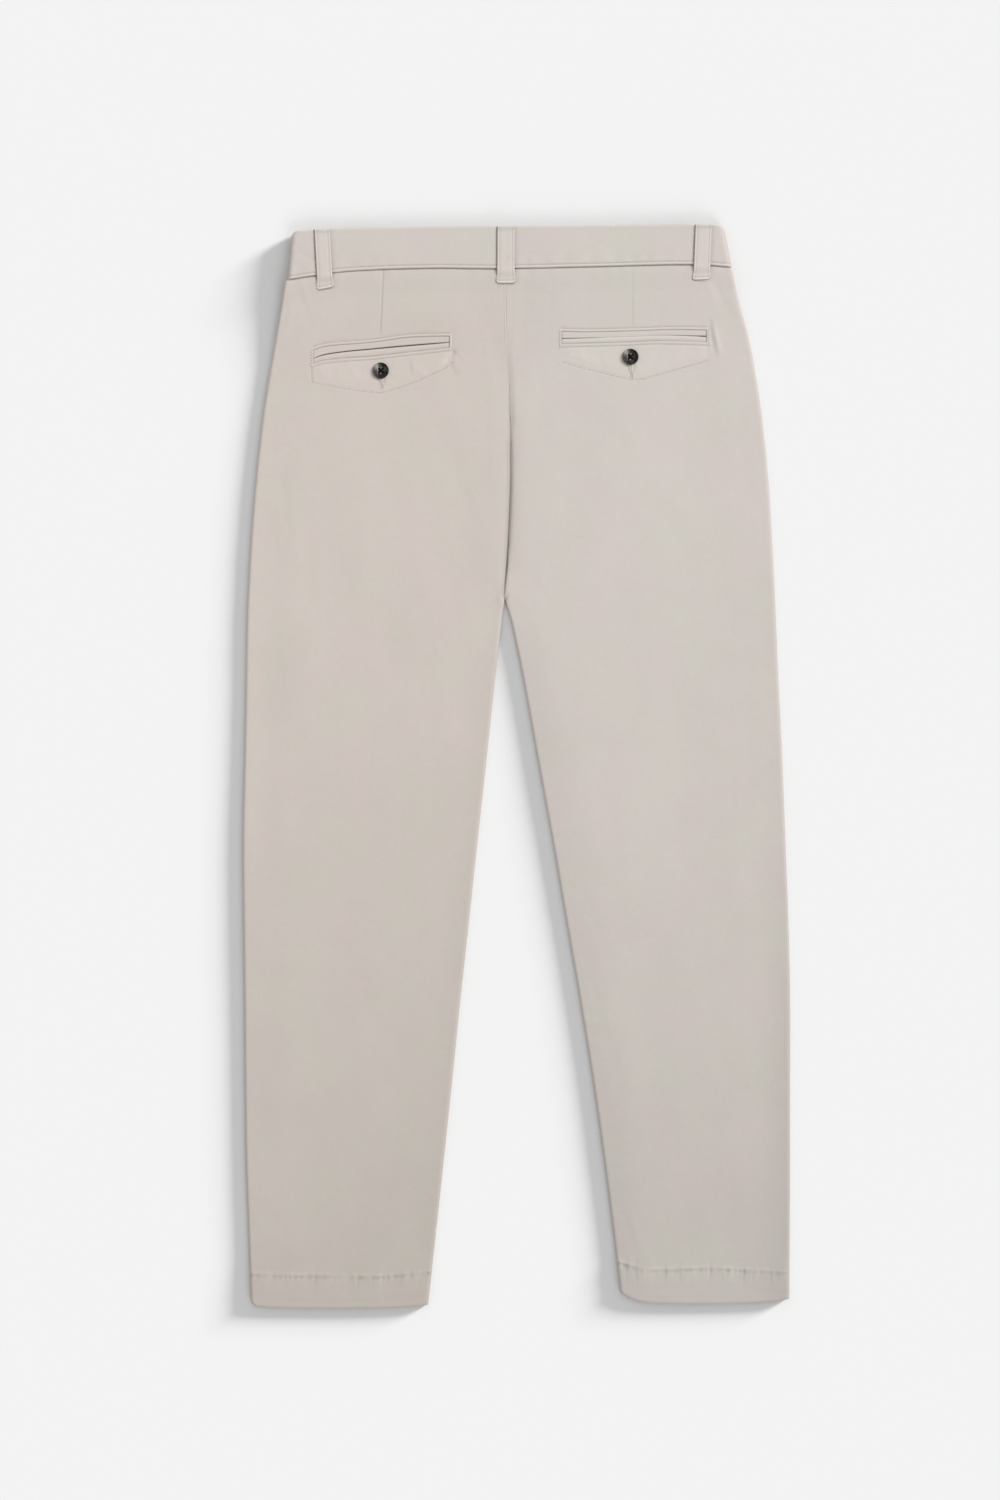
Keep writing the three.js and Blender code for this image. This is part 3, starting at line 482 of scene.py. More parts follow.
def hemFold(half, x, down, height, shade):
    # turned up, so thicker below its stitches, with a groove along them and small puckers across them
    up = half["hem"](x) - down
    past = half["hemStitch"](x) - down
    drawn = 0.6 + 0.4 * np.sin(x / 4.3 + 2 * np.sin(x / 11)) * np.sin(x / 29 + 1)
    height = height + 0.4 * (1 - ramp(past, -1.2, 0.6))
    height = height - 0.6 * soft(past, 0.85) * drawn + 0.3 * soft(past - 2.6, 1.6) * drawn
    height = height - 0.8 * soft(up, 1.1) + 0.1 * soft(up - 3, 1.5)
    # painted shade in the groove, painted light on the ridge above it and along the lowest edge, and painted
    # shade and light across the puckers and tucks
    shade = shade - 0.9 * soft(past + 0.5, 1.1) * drawn + 0.28 * soft(past - 2.4, 1.2) * drawn
    shade = shade + 0.35 * soft(up, 0.9)
    for at, width, lift in hemPuckers[half["name"]]:
        line = lift * soft(x - at - 0.02 * past, width)
        line = line * (0.6 * soft(past + 4, 9) + 0.7 * soft(past + 1, 3.5))
        height, shade = height + line, shade + 1.1 * line
    height = height + 0.12 * np.sin(x / 3.1 + 1.3 * np.sin(x / 13)) * soft(past + 3, 7)
    tucks = np.sin(x / 0.95 + 2.3 * np.sin(x / 7)) * (0.6 + 0.4 * np.sin(x / 17 + 2))
    tucks = tucks + 0.5 * np.sin(x / 2.1 + 2 * np.sin(x / 23))
    height, shade = height + 0.07 * tucks * soft(past + 0.5, 3), shade + 0.34 * tucks * soft(past + 0.5, 3)
    waves = 0.1 * np.sin(past / 2.7 + x / 31 + 2 * np.sin(x / 47))
    height = height + waves * ramp(-past, 6, 12) * ramp(up, 1, 6)
    return height, shade


def panelRelief(half, x, down):  # the height and shade of every part, added one after the other
    height, shade = creasedCloth(half, x, down)
    for addPart in (underBand, dartFold, pocketWindow, facingOutline, buttonholeFan, seatFold, legEdges,
                    hemFold):
        height, shade = addPart(half, x, down, height, shade)
    return height, shade


# Meshes

def putMesh(name, points, quads, tris, material, uv=None, shade=None):
    # points in mm go in as metres, with the faces turned outwards where the volume is negative
    if len(quads):
        a, b, c, d = (points[quads[:, k]] for k in range(4))
        volume = np.einsum("ij,ij->", a, np.cross(b, c)) + np.einsum("ij,ij->", a, np.cross(c, d))
        if volume < 0:
            quads, tris = quads[:, ::-1], tris[:, ::-1]
    mesh = bpy.data.meshes.new(name)
    corners = np.concatenate([quads.ravel(), tris.ravel()]).astype(np.int32)
    starts = np.concatenate([np.arange(len(quads)) * 4, len(quads) * 4 + np.arange(len(tris)) * 3])
    mesh.vertices.add(len(points))
    mesh.vertices.foreach_set("co", (points * 0.001).astype(np.float32).ravel())
    mesh.loops.add(len(corners))
    mesh.loops.foreach_set("vertex_index", corners)
    mesh.polygons.add(len(starts))
    mesh.polygons.foreach_set("loop_start", starts.astype(np.int32))
    mesh.polygons.foreach_set("use_smooth", np.ones(len(starts), bool))
    if uv is not None:
        layer = mesh.uv_layers.new(name="cloth")
        layer.data.foreach_set("uv", (uv[corners] * 0.001).astype(np.float32).ravel())
    # each point's painted shade and light, which the materials put into the colour
    tone = mesh.attributes.new("paintedShadeAndLight", "FLOAT", "POINT")
    tone.data.foreach_set("value", (np.zeros(len(points)) if shade is None else shade).astype(np.float32))
    mesh.update(calc_edges=True)
    mesh.validate()
    piece = bpy.data.objects.new(name, mesh)
    bpy.context.scene.collection.objects.link(piece)
    mesh.materials.append(material)
    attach(piece, "root")
    return piece


def tubeFaces(rows, ring):  # four-sided faces from each ring of points to the next one
    r, k = np.meshgrid(np.arange(rows - 1) * ring, np.arange(ring), indexing="ij")
    after = (k + 1) % ring
    return np.stack([r + k, r + after, r + ring + after, r + ring + k], -1).reshape(-1, 4)


def ringFaces(rows, ring, outerCount):
    # faces of a closed wall: each row is a ring that goes along the outside and back along the inside,
    # and the first and last rings are filled between their outer and inner points
    i = np.arange(outerCount - 1)
    innerCount = ring - outerCount
    over = np.round(np.arange(outerCount) * (innerCount - 1) / (outerCount - 1)).astype(int)
    behind = outerCount + innerCount - 1 - over
    first = np.stack([i + 1, i, behind[1:]], -1)
    second = np.stack([i, behind[:-1], behind[1:]], -1)[over[1:] != over[:-1]]
    cap = np.concatenate([first, second])
    return tubeFaces(rows, ring), np.concatenate([cap, cap[:, ::-1] + (rows - 1) * ring])


def clothPiece(name, material, x, down, outside, inside, across, shade, innerCount, innerTone=0):
    # a closed cloth shell in place of the solid of its name: outside and inside are (X, height) grids,
    # the inside has fewer columns, and the cloth's pattern lies flat by across and down
    y = garment["highestY"] - down
    pick = np.round(np.linspace(0, x.shape[1] - 1, innerCount)).astype(int)[::-1]
    outer = np.stack([outside[0], y, outside[1]], -1)
    inner = np.stack([inside[0], y, inside[1]], -1)[:, pick]
    rings = np.concatenate([outer, inner], 1)
    plan = np.stack([across, -down], -1)
    uv = np.concatenate([plan, plan[:, pick]], 1).reshape(-1, 2)
    tone = np.concatenate([shade, innerTone * shade[:, pick]], 1).ravel()
    quads, tris = ringFaces(len(x), rings.shape[1], x.shape[1])
    piece = putMesh("cloth_" + name, rings.reshape(-1, 3), quads, tris, material, uv, tone)
    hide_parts(name)
    return piece


def wallPiece(name, material, x, down, z, awayX, awayZ, height, wall, innerCount, shade, uvShift=0):
    # a closed wall: its outside is the base surface moved out along its normal by the height, and its
    # inside is the same surface moved in by the wall
    stepX = np.hypot(np.diff(x, axis=1), np.diff(z, axis=1))
    across = np.concatenate([np.zeros((len(x), 1)), np.cumsum(stepX, 1)], 1) + x[:, :1] + uvShift
    return clothPiece(name, material, x, down, (x + awayX * height, z + awayZ * height),
                      (x - awayX * wall, z - awayZ * wall), across, shade, innerCount, 1)


# Back panels

def rowDown(half, rowMean, x, dip=0, pocketShare=1):
    # the first rows follow the waistband, the next ones the pocket's mouth, and the last ones the hem
    pocket = pockets[half["name"]]
    byBand = 1 - ramp(rowMean, 50, 92)
    byPocket = ramp(rowMean, 58, 92) * (1 - ramp(rowMean, 172, 250)) * pocketShare
    byHem = ramp(rowMean, 930, 1000)
    down = rowMean + byBand * (bandBottom(x) + dip - garment["bandMean"])
    down = down + byPocket * (pocket["mouthDown"](x) - pocket["mouthMean"])
    return down + byHem * (half["hem"](x) - garment["hemMean"])


def bandSide(half, down):  # X of the waistband's side edge, which leans from its top to its bottom
    top, bottom = bandTop(half["sideBottom"]), bandBottom(half["sideBottom"])
    return mix(half["sideTop"], half["sideBottom"], np.clip((down - top) / (bottom - top), 0, 1))


def outerEdge(half, rowMean, pocketShare=1):
    # X of a panel's outer edge: inside the waistband's side first, then the leg's outline
    down = rowDown(half, rowMean, half["outer"](rowMean), 0, pocketShare)
    tucked = bandSide(half, down) + half["inward"] * (garment["bandWall"] + seamGap)
    return mix(tucked, half["outer"](down),
               ramp(rowMean, garment["bandMean"] - 0.6, garment["bandMean"] + 0.9))


def wallAt(down):  # the cloth's thickness, which grows at the hem
    return mix(garment["clothWall"], garment["hemWall"], ramp(down, 1000, 1010))


def lipAt(rowMean):  # from a leg's inner edge to its seam on the underside, short beside the crotch
    return mix(garment["shortLip"], garment["lipWidth"], ramp(rowMean, 364, 400))


def panelColumns(half):
    # columns of the top, 0 to 1 from the outer edge to the window, 1 to 2 across it and 2 to 3 on to the
    # inner edge, closest beside the window's ends and the dart
    pocket = pockets[half["name"]]
    length = abs(pocket["toX"] - pocket["fromX"])
    first = abs((pocket["fromX"] if half is left else pocket["toX"]) - half["outer"](120))
    last = abs((pocket["toX"] if half is left else pocket["fromX"]) - half["inner"](120))
    dart = abs(darts[half["name"]][1][0] - (pocket["fromX"] if half is left else pocket["toX"])) / length
    near = 3.5 / length
    return stepsThrough([
        (0, 1 - 3 / first, 1.7 / first), (1 - 3 / first, 1, 0.6 / first), (1, 1 + 2 / length, 0.6 / length),
        (1 + 2 / length, 1 + dart - near, 1.55 / length), (1 + dart - near, 1 + dart + near, 0.7 / length),
        (1 + dart + near, 2 - 2 / length, 1.55 / length), (2 - 2 / length, 2, 0.6 / length),
        (2, 2 + 3 / last, 0.6 / last), (2 + 3 / last, 3, 1.6 / last),
    ])


def makeBack(half, material):
    # each row runs along the underside's lip, half a turn round the outer edge, across the top, and half a
    # turn round the inner edge to its lip; the relief moves it along its normal
    inward, pocket = half["inward"], pockets[half["name"]]
    mouth = pocket["mouthMean"]
    rowMean = stepsThrough([
        (33, 41, 4), (41, 44, 0.4), (44, 48, 0.8), (48, 60, 1.5), (60, mouth - 11, 2.3),
        (mouth - 11, mouth + 11, 0.7), (mouth + 11, mouth + 44, 1.5), (mouth + 44, 182, 2.4), (182, 330, 4.2),
        (330, 385, 2.6), (385, 1000, 5.0), (1000, 1014, 0.85), (1014, 1034, 2.0), (1034, 1039, 0.6),
    ])[:, None]
    outerX, innerX = outerEdge(half, rowMean), innerEdge(half, rowDown(half, rowMean, half["inner"](rowMean)))
    topAt = lambda x: bodyTop(half, x, rowDown(half, rowMean, x))
    low = bodyLow(rowDown(half, rowMean, outerX) - bandBottom(outerX))
    turn = np.linspace(-math.pi / 2, math.pi / 2, 11)[None, :]

    # underside lip and outer roll
    outerTop = topAt(outerX)
    radius, middle = (outerTop - low) / 2, (outerTop + low) / 2
    lipX = outerX + inward * np.linspace(garment["lipWidth"], radius[:, 0].mean() + 1, 5)[None, :]
    rollX = outerX + inward * (radius - radius * np.cos(turn[:, :-1]))
    rollZ = middle + radius * np.sin(turn[:, :-1])

    # top, whose columns stand on the pocket's window where the rows cross it
    rolled = ramp(rowMean, 352, 372)
    innerTop = topAt(innerX)
    strip = 7.0  # beside the centre-back seam, the inner roll's columns lie flat
    topFrom = outerX + inward * radius
    topTo = innerX - inward * mix(strip, innerTop / 2, rolled)
    ends = pocket["fromX"], pocket["toX"]
    windowFrom, windowTo = ends if half is left else ends[::-1]
    there = ramp(rowMean, 62, 92) * (1 - ramp(rowMean, 180, 300))
    wideAt = lambda x: (x - half["outer"](120)) / (half["inner"](120) - half["outer"](120))
    a = mix(mix(topFrom, topTo, wideAt(windowFrom)), windowFrom, there)
    b = mix(mix(topFrom, topTo, wideAt(windowTo)), windowTo, there)
    v = panelColumns(half)[None, :]
    topX = np.where(v < 1, mix(topFrom, a, v), np.where(v < 2, mix(a, b, v - 1), mix(b, topTo, v - 2)))

    # inner roll and lip, which lie flat above the crotch
    back = turn[:, ::-1][:, 1:]
    innerRadius = innerTop / 2
    flatX = innerX - inward * strip * np.linspace(1, 0, 15)[None, 1:]
    lipEnd = mix(innerRadius, lipAt(rowMean), np.linspace(0, 1, 5)[None, 1:])
    roundX = innerX - inward * innerRadius * (1 - np.cos(back))
    curledX = np.concatenate([roundX, innerX - inward * lipEnd], 1)
    curledZ = np.concatenate([innerRadius * (1 + np.sin(back)), np.zeros((len(rowMean), 4))], 1)
    endX = mix(flatX, curledX, rolled)
    endX = endX + innerX - inward * (inward * endX).max(1, keepdims=True)
    endZ = mix(topAt(flatX), curledZ, rolled)
    endAwayX = rolled * np.concatenate([inward * np.cos(back), np.zeros((1, 4))], 1)
    endAwayZ = mix(1.0, np.concatenate([np.sin(back), -np.ones((1, 4))], 1), rolled)
    size = np.maximum(np.hypot(endAwayX, endAwayZ), 0.35)

    ones = np.ones((len(rowMean), 1))
    x = np.concatenate([lipX, rollX, topX, endX], 1)
    z = np.concatenate([low * np.ones((1, 5)), rollZ, topAt(topX), endZ], 1)
    awayX = np.concatenate([0 * lipX, -inward * np.cos(turn[:, :-1]) * ones, 0 * topX, endAwayX / size], 1)
    awayZ = np.concatenate([-1 + 0 * lipX, np.sin(turn[:, :-1]) * ones, 1 + 0 * topX, endAwayZ / size], 1)
    down = rowDown(half, rowMean, x)
    height, shade = panelRelief(half, x, down)
    upward = np.clip(awayZ, 0, 1)
    thick = wallAt(rowMean) + 2.1 * (1 - ramp(windowDistance(pocket, x, down), -2, 9)) * (awayZ > 0.9)
    # painted shadow round the back loops; painted light and shade on the rolled edges by the way they face,
    # and painted light inside the crevice
    shade = (shade + loopShadow(half, x, down)) * upward
    facing = np.where(awayX > 0, paintedEdgeShade["facingRight"], paintedEdgeShade["facingLeft"] * (awayX < 0))
    crevice = paintedEdgeShade["crevice"] * (1 - upward) * shareOf((158, 172, 190, 215), down)
    shade = shade + (1 - upward) * facing + crevice * (inward * awayX > 0)
    name, relief = "back_" + half["name"], height * upward
    return wallPiece(name, material, x, down, z, awayX, awayZ, relief, thick, 44, shade)


# Front panels, flat under the back ones, and the hip pieces inside the slanted pocket mouths
front = {"mouthIn": 52, "mouthFall": 165, "hipLeast": 6, "flyLap": 16, "mouthStitches": (1.6, 6.5),
         "flyWidth": 34, "flyEnd": 212, "stitchGroove": 0.42}
lastHip = garment["bandMean"] + front["mouthFall"] * (1 - front["hipLeast"] / front["mouthIn"])
centreFront = curveThrough([(30, 3), (200, 3), (356, -11)])


def dipAt(half, x):  # how much lower the front waistband is than the back one
    side = half["sideBottom"]
    share = np.clip((x - side) / (centreFront(0) - side), 0, 1)
    return garment["frontDip"] * np.sin(math.pi / 2 * share) ** 2


def mouthAt(rowMean):  # how far in the slanted pocket mouth lies, in a straight line to 0 at mouthFall
    return front["mouthIn"] * np.maximum(0, 1 - (rowMean - garment["bandMean"]) / front["mouthFall"])


def flyAt(down):  # X of the fly's curved stitching
    curved = ramp(down, front["flyEnd"] - 50, front["flyEnd"])
    return centreFront(down) - front["flyWidth"] * np.sqrt(1 - curved)


def makeFront(half, material, piece):
    # a strip between two edges that are functions of the row, with its outside underneath
    inward = half["inward"]
    hip = piece == "front_pocket"
    rowMean = stepsThrough([(33, 42, 3), (42, 60, 2.2), (60, lastHip, 4)] if hip else [
        (33, 42, 3), (42, 60, 2), (60, 356, 5), (356, 400, 4), (400, 1000, 8), (1000, 1014, 1.1),
        (1014, 1034, 3), (1034, 1039, 1)])[:, None]
    sideX = outerEdge(half, rowMean, 0) + inward * (garment["lipWidth"] + seamGap)
    mouth = mouthAt(rowMean)
    flatEnd = centreFront(rowMean) - inward * seamGap / 2
    legEnd = innerEdge(half, rowMean) - inward * (lipAt(rowMean) + seamGap)
    innerX = np.where(rowMean <= garment["crotch"], flatEnd, legEnd)
    fromX = sideX if hip else sideX + inward * (mouth + seamGap * (mouth > 0))
    toX = sideX + inward * mouth if hip else innerX
    v = np.concatenate([np.linspace(0, 0.06, 9)[:-1], np.linspace(0.06, 0.94, 52)[:-1],
                        np.linspace(0.94, 1, 9)])
    x = mix(fromX, toX, v[None, :])
    dip = dipAt(half, x)
    down = rowDown(half, rowMean, x, dip, 0)
    z = bodyLow(down - bandBottom(x) - dip)
    fromEdge, toEdge = np.abs(x - fromX), np.abs(x - toX)
    past = half["hemStitch"](x) - down
    up = half["hem"](x) - down
    groove = 0.5 * soft(past, 0.9) + 0.35 * soft(up, 1.0)
    rounding = 0.55 * soft(fromEdge, 1.2) + 0.55 * soft(toEdge, 1.2)
    if not hip:
        for off in front["mouthStitches"]:
            rounding = rounding + front["stitchGroove"] * (mouth > 0) * soft(fromEdge - off, 0.7)
    if half is left and not hip:
        rounding = rounding + front["stitchGroove"] * soft(x - flyAt(down), 0.9) * (down < front["flyEnd"])
    relief = np.clip(groove + rounding, 0, 0.8)
    # the relief is also painted into the colour, darker in the grooves, as shade
    return wallPiece(piece + "_" + half["name"], material, x, down, z, 0 * x, -1 + 0 * x, -relief,
                     wallAt(rowMean) + 0 * x, 18, -relief * 0.7, uvShift=400)


def hemRow(half, inset):  # X of points along a hem's stitches, from one edge to the other
    outer, inner = half["outer"](garment["hemStitchMean"]), half["inner"](garment["hemStitchMean"])
    return np.linspace(min(outer, inner) + inset, max(outer, inner) - inset, 220)


def frontSeams(half):
    # rows beside the slanted pocket mouth, round the fly on the left half, and along the hem
    rowMean = np.arange(46, garment["bandMean"] + front["mouthFall"] - 4, 0.8)
    sideX = outerEdge(half, rowMean, 0) + half["inward"] * (garment["lipWidth"] + seamGap)
    rows = []
    for off in front["mouthStitches"]:
        x = sideX + half["inward"] * (mouthAt(rowMean) + seamGap + off)
        dip = dipAt(half, x)
        rows.append((x, rowDown(half, rowMean, x, dip, 0)))
    if half is left:
        down = np.arange(70, front["flyEnd"] - 1.5, 0.8)
        rows.append((flyAt(down), down))
    x = hemRow(half, 14)
    rows.append((x, half["hemStitch"](x)))
    return [np.stack([x, down, bodyLow(down - bandBottom(x) - dipAt(half, x)) + front["stitchGroove"]], -1)
            for x, down in rows]


# Waistband halves, each from the centre front round the side to the centre-back seam
band = {"edgeRound": 1.3, "stitchUp": 3.1, "groove": 0.34, "ridge": 0.22, "cornerInset": 2.4}
# Wrinkles at the left end: X and down of each end, half width, depth
bandWrinkles = [(-207, 29, -195, 34, 1.6, 0.3), (-178, 36, -168, 24, 2.2, 0.2)]


def bandRelief(half, x, share, onBack):
    # topstitch groove above the lower edge with a ridge below it, small puckers above, uneven cloth
    depth = bandBottom(x) - bandTop(x)
    up, below = (1 - share) * depth, share * depth
    pucker = np.sin(x / 3.1 + 2 * np.sin(x / 19)) * (0.6 + 0.4 * np.sin(x / 41))
    height = 0.14 * np.sin(x / 33 + 3 * share) + 0.08 * np.sin(x / 14 - 4 * share + 1) * onBack
    height = height - band["groove"] * soft(up - band["stitchUp"], 0.7) + band["ridge"] * soft(up - 1.5, 0.9)
    height = height + 0.12 * pucker * soft(up - 7, 4) + 0.1 * soft(below - 1.8, 1)
    # painted shade in the stitch groove, painted light on the ridge below it and along both edges, and
    # painted shade and light across the puckers
    shade = -0.5 * soft(up - band["stitchUp"], 0.6) + 0.45 * soft(up - 1.3, 0.8) + 0.2 * soft(below - 1.2, 1)
    shade = shade + 0.1 * soft(up, 0.5) + 0.12 * pucker * soft(up - 7, 4)
    if half is left:
        down = bandTop(x) + share * depth
        for ax, ad, bx, bd, width, deep in bandWrinkles:
            height = height - deep * soft(toLine(x, down, [(ax, ad), (bx, bd)])[0], width) * onBack
    return height, shade


def makeBand(half, material):
    # rows run from the centre front along the underside, half a turn round the side and along the top to
    # the centre-back seam, and columns are shares of the depth
    inward = half["inward"]
    frontEnd = centreFront(0) + front["flyLap"] - inward * seamGap / 2
    backEnd = half["inner"](0) - inward * seamGap / 2
    share = stepsThrough([(0, 0.05, 0.008), (0.05, 0.8, 0.042), (0.8, 1, 0.0125)])[None, :]
    inset = band["cornerInset"] * (1 - ramp(share, 0, 0.09))
    edge = mix(half["sideTop"], half["sideBottom"], share) + inward * inset
    low, top = loopLayer, garment["bandTopZ"]
    radius = (top - low) / 2
    turn = np.linspace(-math.pi / 2, math.pi / 2, 15)[:, None]
    under = np.linspace(0, 1, 70)[:-1, None]
    over = np.linspace(0, 1, 170)[1:, None]
    x = np.concatenate([mix(frontEnd, edge + inward * radius, under),
                        edge + inward * radius * (1 - np.cos(turn)),
                        mix(edge + inward * radius, backEnd, over)])
    z = np.concatenate([low + 0 * under * share, (top + low) / 2 + radius * np.sin(turn) + 0 * share,
                        top + 0 * over * share])
    awayX = np.concatenate([0 * under, -inward * np.cos(turn), 0 * over]) + 0 * share
    awayZ = np.concatenate([-1 + 0 * under, np.sin(turn), 1 + 0 * over]) + 0 * share
    dip = dipAt(half, x) * np.concatenate([1 + 0 * under, 0 * turn, 0 * over])
    depth = bandBottom(x) - bandTop(x)
    down = bandTop(x) + share * depth + dip
    fromEdge = np.minimum(share, 1 - share) * depth
    rounding = quarterRound(fromEdge, band["edgeRound"])
    height, shade = bandRelief(half, x, share, np.clip(awayZ, 0, 1))
    # painted shadow round the back loops, and painted shade on the side that faces right
    shade = shade + loopShadow(half, x, down) * (awayZ > 0.9)
    ends = soft(x - backEnd, 1.2) * (awayZ > 0) + soft(x - frontEnd, 1.2) * (awayZ < 0)
    shade = shade - 0.8 * (1 - np.clip(awayZ, 0, 1)) * (awayX > 0)
    curl = garment["bandWall"] / 2 * 0.95 * rounding
    outer = height * mix(0.5, 1, np.clip(awayZ, 0, 1)) * np.where(awayZ < 0, 0.6, 1) - curl - 0.7 * ends
    outer = np.where(awayZ < -0.5, np.minimum(outer, 0), outer)
    inner = garment["bandWall"] - curl
    steps = np.hypot(np.diff(x, axis=0), np.diff(z, axis=0))
    walk = np.concatenate([np.zeros((1, x.shape[1])), np.cumsum(steps, 0)])
    return clothPiece("waistband_" + half["name"], material, x, down, (x + awayX * outer, z + awayZ * outer),
                      (x - awayX * inner, z - awayZ * inner), walk + 700, shade, 14)


# Belt loops: X at the top and at the end, width, length, how much lower the end's left corner is
loopColumns = ("half", "topX", "endX", "width", "length", "slant")
loopRows = {
    "belt_loop_back_left": (left, -186.4, -183.3, 15, 57.2, 3.4),
    "belt_loop_back_centre": (left, -10.0, -10.3, 17, 54.7, 0),
    "belt_loop_back_right": (right, 179.4, 177.3, 16, 53, 0.8),
    "belt_loop_front_left": (left, -118, -118, 16, 53, 0),
    "belt_loop_front_right": (right, 112, 112, 16, 53, 0),
}
loops = {name: dict(zip(loopColumns, row)) for name, row in loopRows.items()}
loopForm = {"rise": 0.45, "topDrop": 0.4, "step": 9, "corner": 1.6, "flare": 1.6, "endStitch": 3.0,
            "rimLine": 2.3}


def cutOf(half):
    # the flat size and area of a half's back, front, hip piece and waistband, in metres: across a panel,
    # the outline's width with the lips that turn under and (pi - 2) radii for each rolled edge
    def laidFlat(widths, rows):  # the widest row by the length, and the mean width times the length
        length = (rows[-1] - rows[0]) / 1000
        return {"flat": (round(widths.max() / 1000, 3), round(length, 3)),
                "area": round(widths.mean() / 1000 * length, 4)}

    rows = np.linspace(garment["bandMean"] - garment["tuckDepth"], garment["hemMean"], 500)
    hipRows = np.linspace(rows[0], lastHip, 100)
    outerX, innerX = outerEdge(half, rows, 0), innerEdge(half, rows)
    legs = rows > garment["crotch"]
    outerLip, innerLip = garment["lipWidth"], lipAt(rows)
    roll = (math.pi - 2) * garment["legTopZ"] / 2
    across = np.abs(innerX - outerX) + outerLip + roll + legs * (innerLip + roll)
    endX = np.where(legs, innerX - half["inward"] * innerLip, centreFront(rows))
    below = np.abs(endX - outerX) - outerLip - mouthAt(rows)
    side = (half["sideTop"] + half["sideBottom"]) / 2
    bandRoll = (math.pi - 2) * (garment["bandTopZ"] - loopLayer) / 2
    bandLength = abs(centreFront(0) + front["flyLap"] - side) + abs(side - half["inner"](0)) + bandRoll
    x = np.linspace(side, half["inner"](0), 100)
    depth = float((bandBottom(x) - bandTop(x)).mean())
    return {
        "back": laidFlat(across, rows), "front": laidFlat(below, rows),
        "hip": laidFlat(mouthAt(hipRows), hipRows),
        "band": {"flat": (round(bandLength / 1000, 3), round(depth / 1000, 4))},
    }


def loopShadow(half, x, down):
    # painted shadow on the cloth round the back loops: a thin dark line on the left and below, a soft one on
    # the right
    shade = 0 * x
    for name, loop in loops.items():
        if "back" in name and (loop["half"] is half or "centre" in name):
            topX, endX, length = loop["topX"], loop["endX"], loop["length"]
            share = (down - bandTop(mix(topX, endX, 0.5)) - loopForm["topDrop"]) / length
            wide = loop["width"] + loopForm["flare"] * ramp(share, 0.78, 0.97)
            off = x - mix(topX, endX, np.clip(share, 0, 1))
            beside = 1 - ramp(share, 0.97, 1)
            shade = shade - 1.5 * soft(off + wide / 2 + 0.35, 0.5) * beside
            shade = shade - 0.4 * soft(off - wide / 2 - 0.3, 2.6) * (off > wide / 2 - 1) * beside
            past = (share - 1) * length + loop["slant"] * off / wide
            shade = shade - 1.3 * soft(past - 0.3, 0.55) * (1 - ramp(np.abs(off), wide / 2 - 1.5, wide / 2))
    return shade


def loopPlace(name, share, across):
    # X, down and height of a belt loop's underside, for shares along it and across it (-0.5 to 0.5)
    loop = loops[name]
    half, middle = loop["half"], mix(loop["topX"], loop["endX"], share)
    width = loop["width"] + loopForm["flare"] * ramp(share, 0.78, 0.97)
    x = middle + across * width
    inFront = "front" in name
    dip = dipAt(half, middle) if inFront else 0
    toSide = width * (0.5 - np.abs(across))
    cut = loopForm["corner"] * soft(toSide, 1.3) * ramp(share, 0.9, 1)
    down = bandTop(middle) + dip + loopForm["topDrop"] + share * loop["length"] - cut
    down = down - loop["slant"] * across * ramp(share, 0.7, 1)
    if inFront:
        return x, down, 0 * x, toSide
    fall = down - bandBottom(middle)
    seat = mix(garment["bandTopZ"], bodyTop(half, x, down), ramp(fall, 0, loopForm["step"]))
    return x, down, seat + seamGap + loopForm["rise"] * np.sin(math.pi * share), toSide


def makeLoop(name, material):
    # a strip by shares along and across it, with rounded rims, a line along each rim and one across the end
    length = loops[name]["length"]
    share = stepsThrough([(0, 0.05, 0.01), (0.05, 0.7, 0.025), (0.7, 0.9, 0.015), (0.9, 1, 0.008)])[:, None]
    across = stepsThrough([(-0.5, -0.3, 0.018), (-0.3, 0.3, 0.06), (0.3, 0.5, 0.018)])[None, :]
    x, down, low, toSide = loopPlace(name, share, across)
    toEnd = np.minimum(share, 1 - share) * length
    near = np.minimum(toSide, toEnd)
    curl = quarterRound(near, 1.0)
    fromEnd = (1 - share) * length
    height = garment["trimWall"] - 0.6 * curl - 0.12 * soft(toSide - loopForm["rimLine"], 0.55)
    height = height + 0.12 * soft(toSide - 1.1, 0.6) + 0.12 * soft(toSide - 6, 3)
    height = height - 0.28 * soft(fromEnd - loopForm["endStitch"], 0.6) + 0.1 * soft(fromEnd - 1.4, 0.7)
    height = height + 0.06 * np.sin(share * 19 + across * 3 + loops[name]["topX"])
    if "centre" in name:
        height = height - 0.35 * soft(toLine(x, down, [(-16.5, 41), (-9, 34)])[0], 1.4)
    # painted shade along the lines by the rims and across the end, at the sides, at the end and near the top;
    # painted light over the whole loop, on the rims and where it comes down off the band
    shade = 0.12 - 0.5 * soft(toSide - loopForm["rimLine"], 0.5) + 0.2 * soft(toSide - 1.0, 0.6)
    shade = shade - 0.5 * soft(fromEnd - loopForm["endStitch"], 0.5) + 0.6 * soft(fromEnd - 1.5, 0.7)
    shade = shade - 1.1 * soft(toSide, 0.45) - 2.4 * soft(fromEnd, 0.55)
    shade = shade - 0.5 * soft(share * length - 2.6, 1.5)
    shade = shade + 0.5 * soft(down - bandBottom(x) - 3, 3.2) * ("back" in name)
    under = 0.3 * curl
    if "front" in name:  # it lies face down, so its outside is the lower one
        low, height, under = low + garment["trimWall"], -np.minimum(height, garment["trimWall"]), -under
    return clothPiece(name, material, x, down, (x, low + height), (x, low + under), x + 900, shade, 9)


# Pocket welts

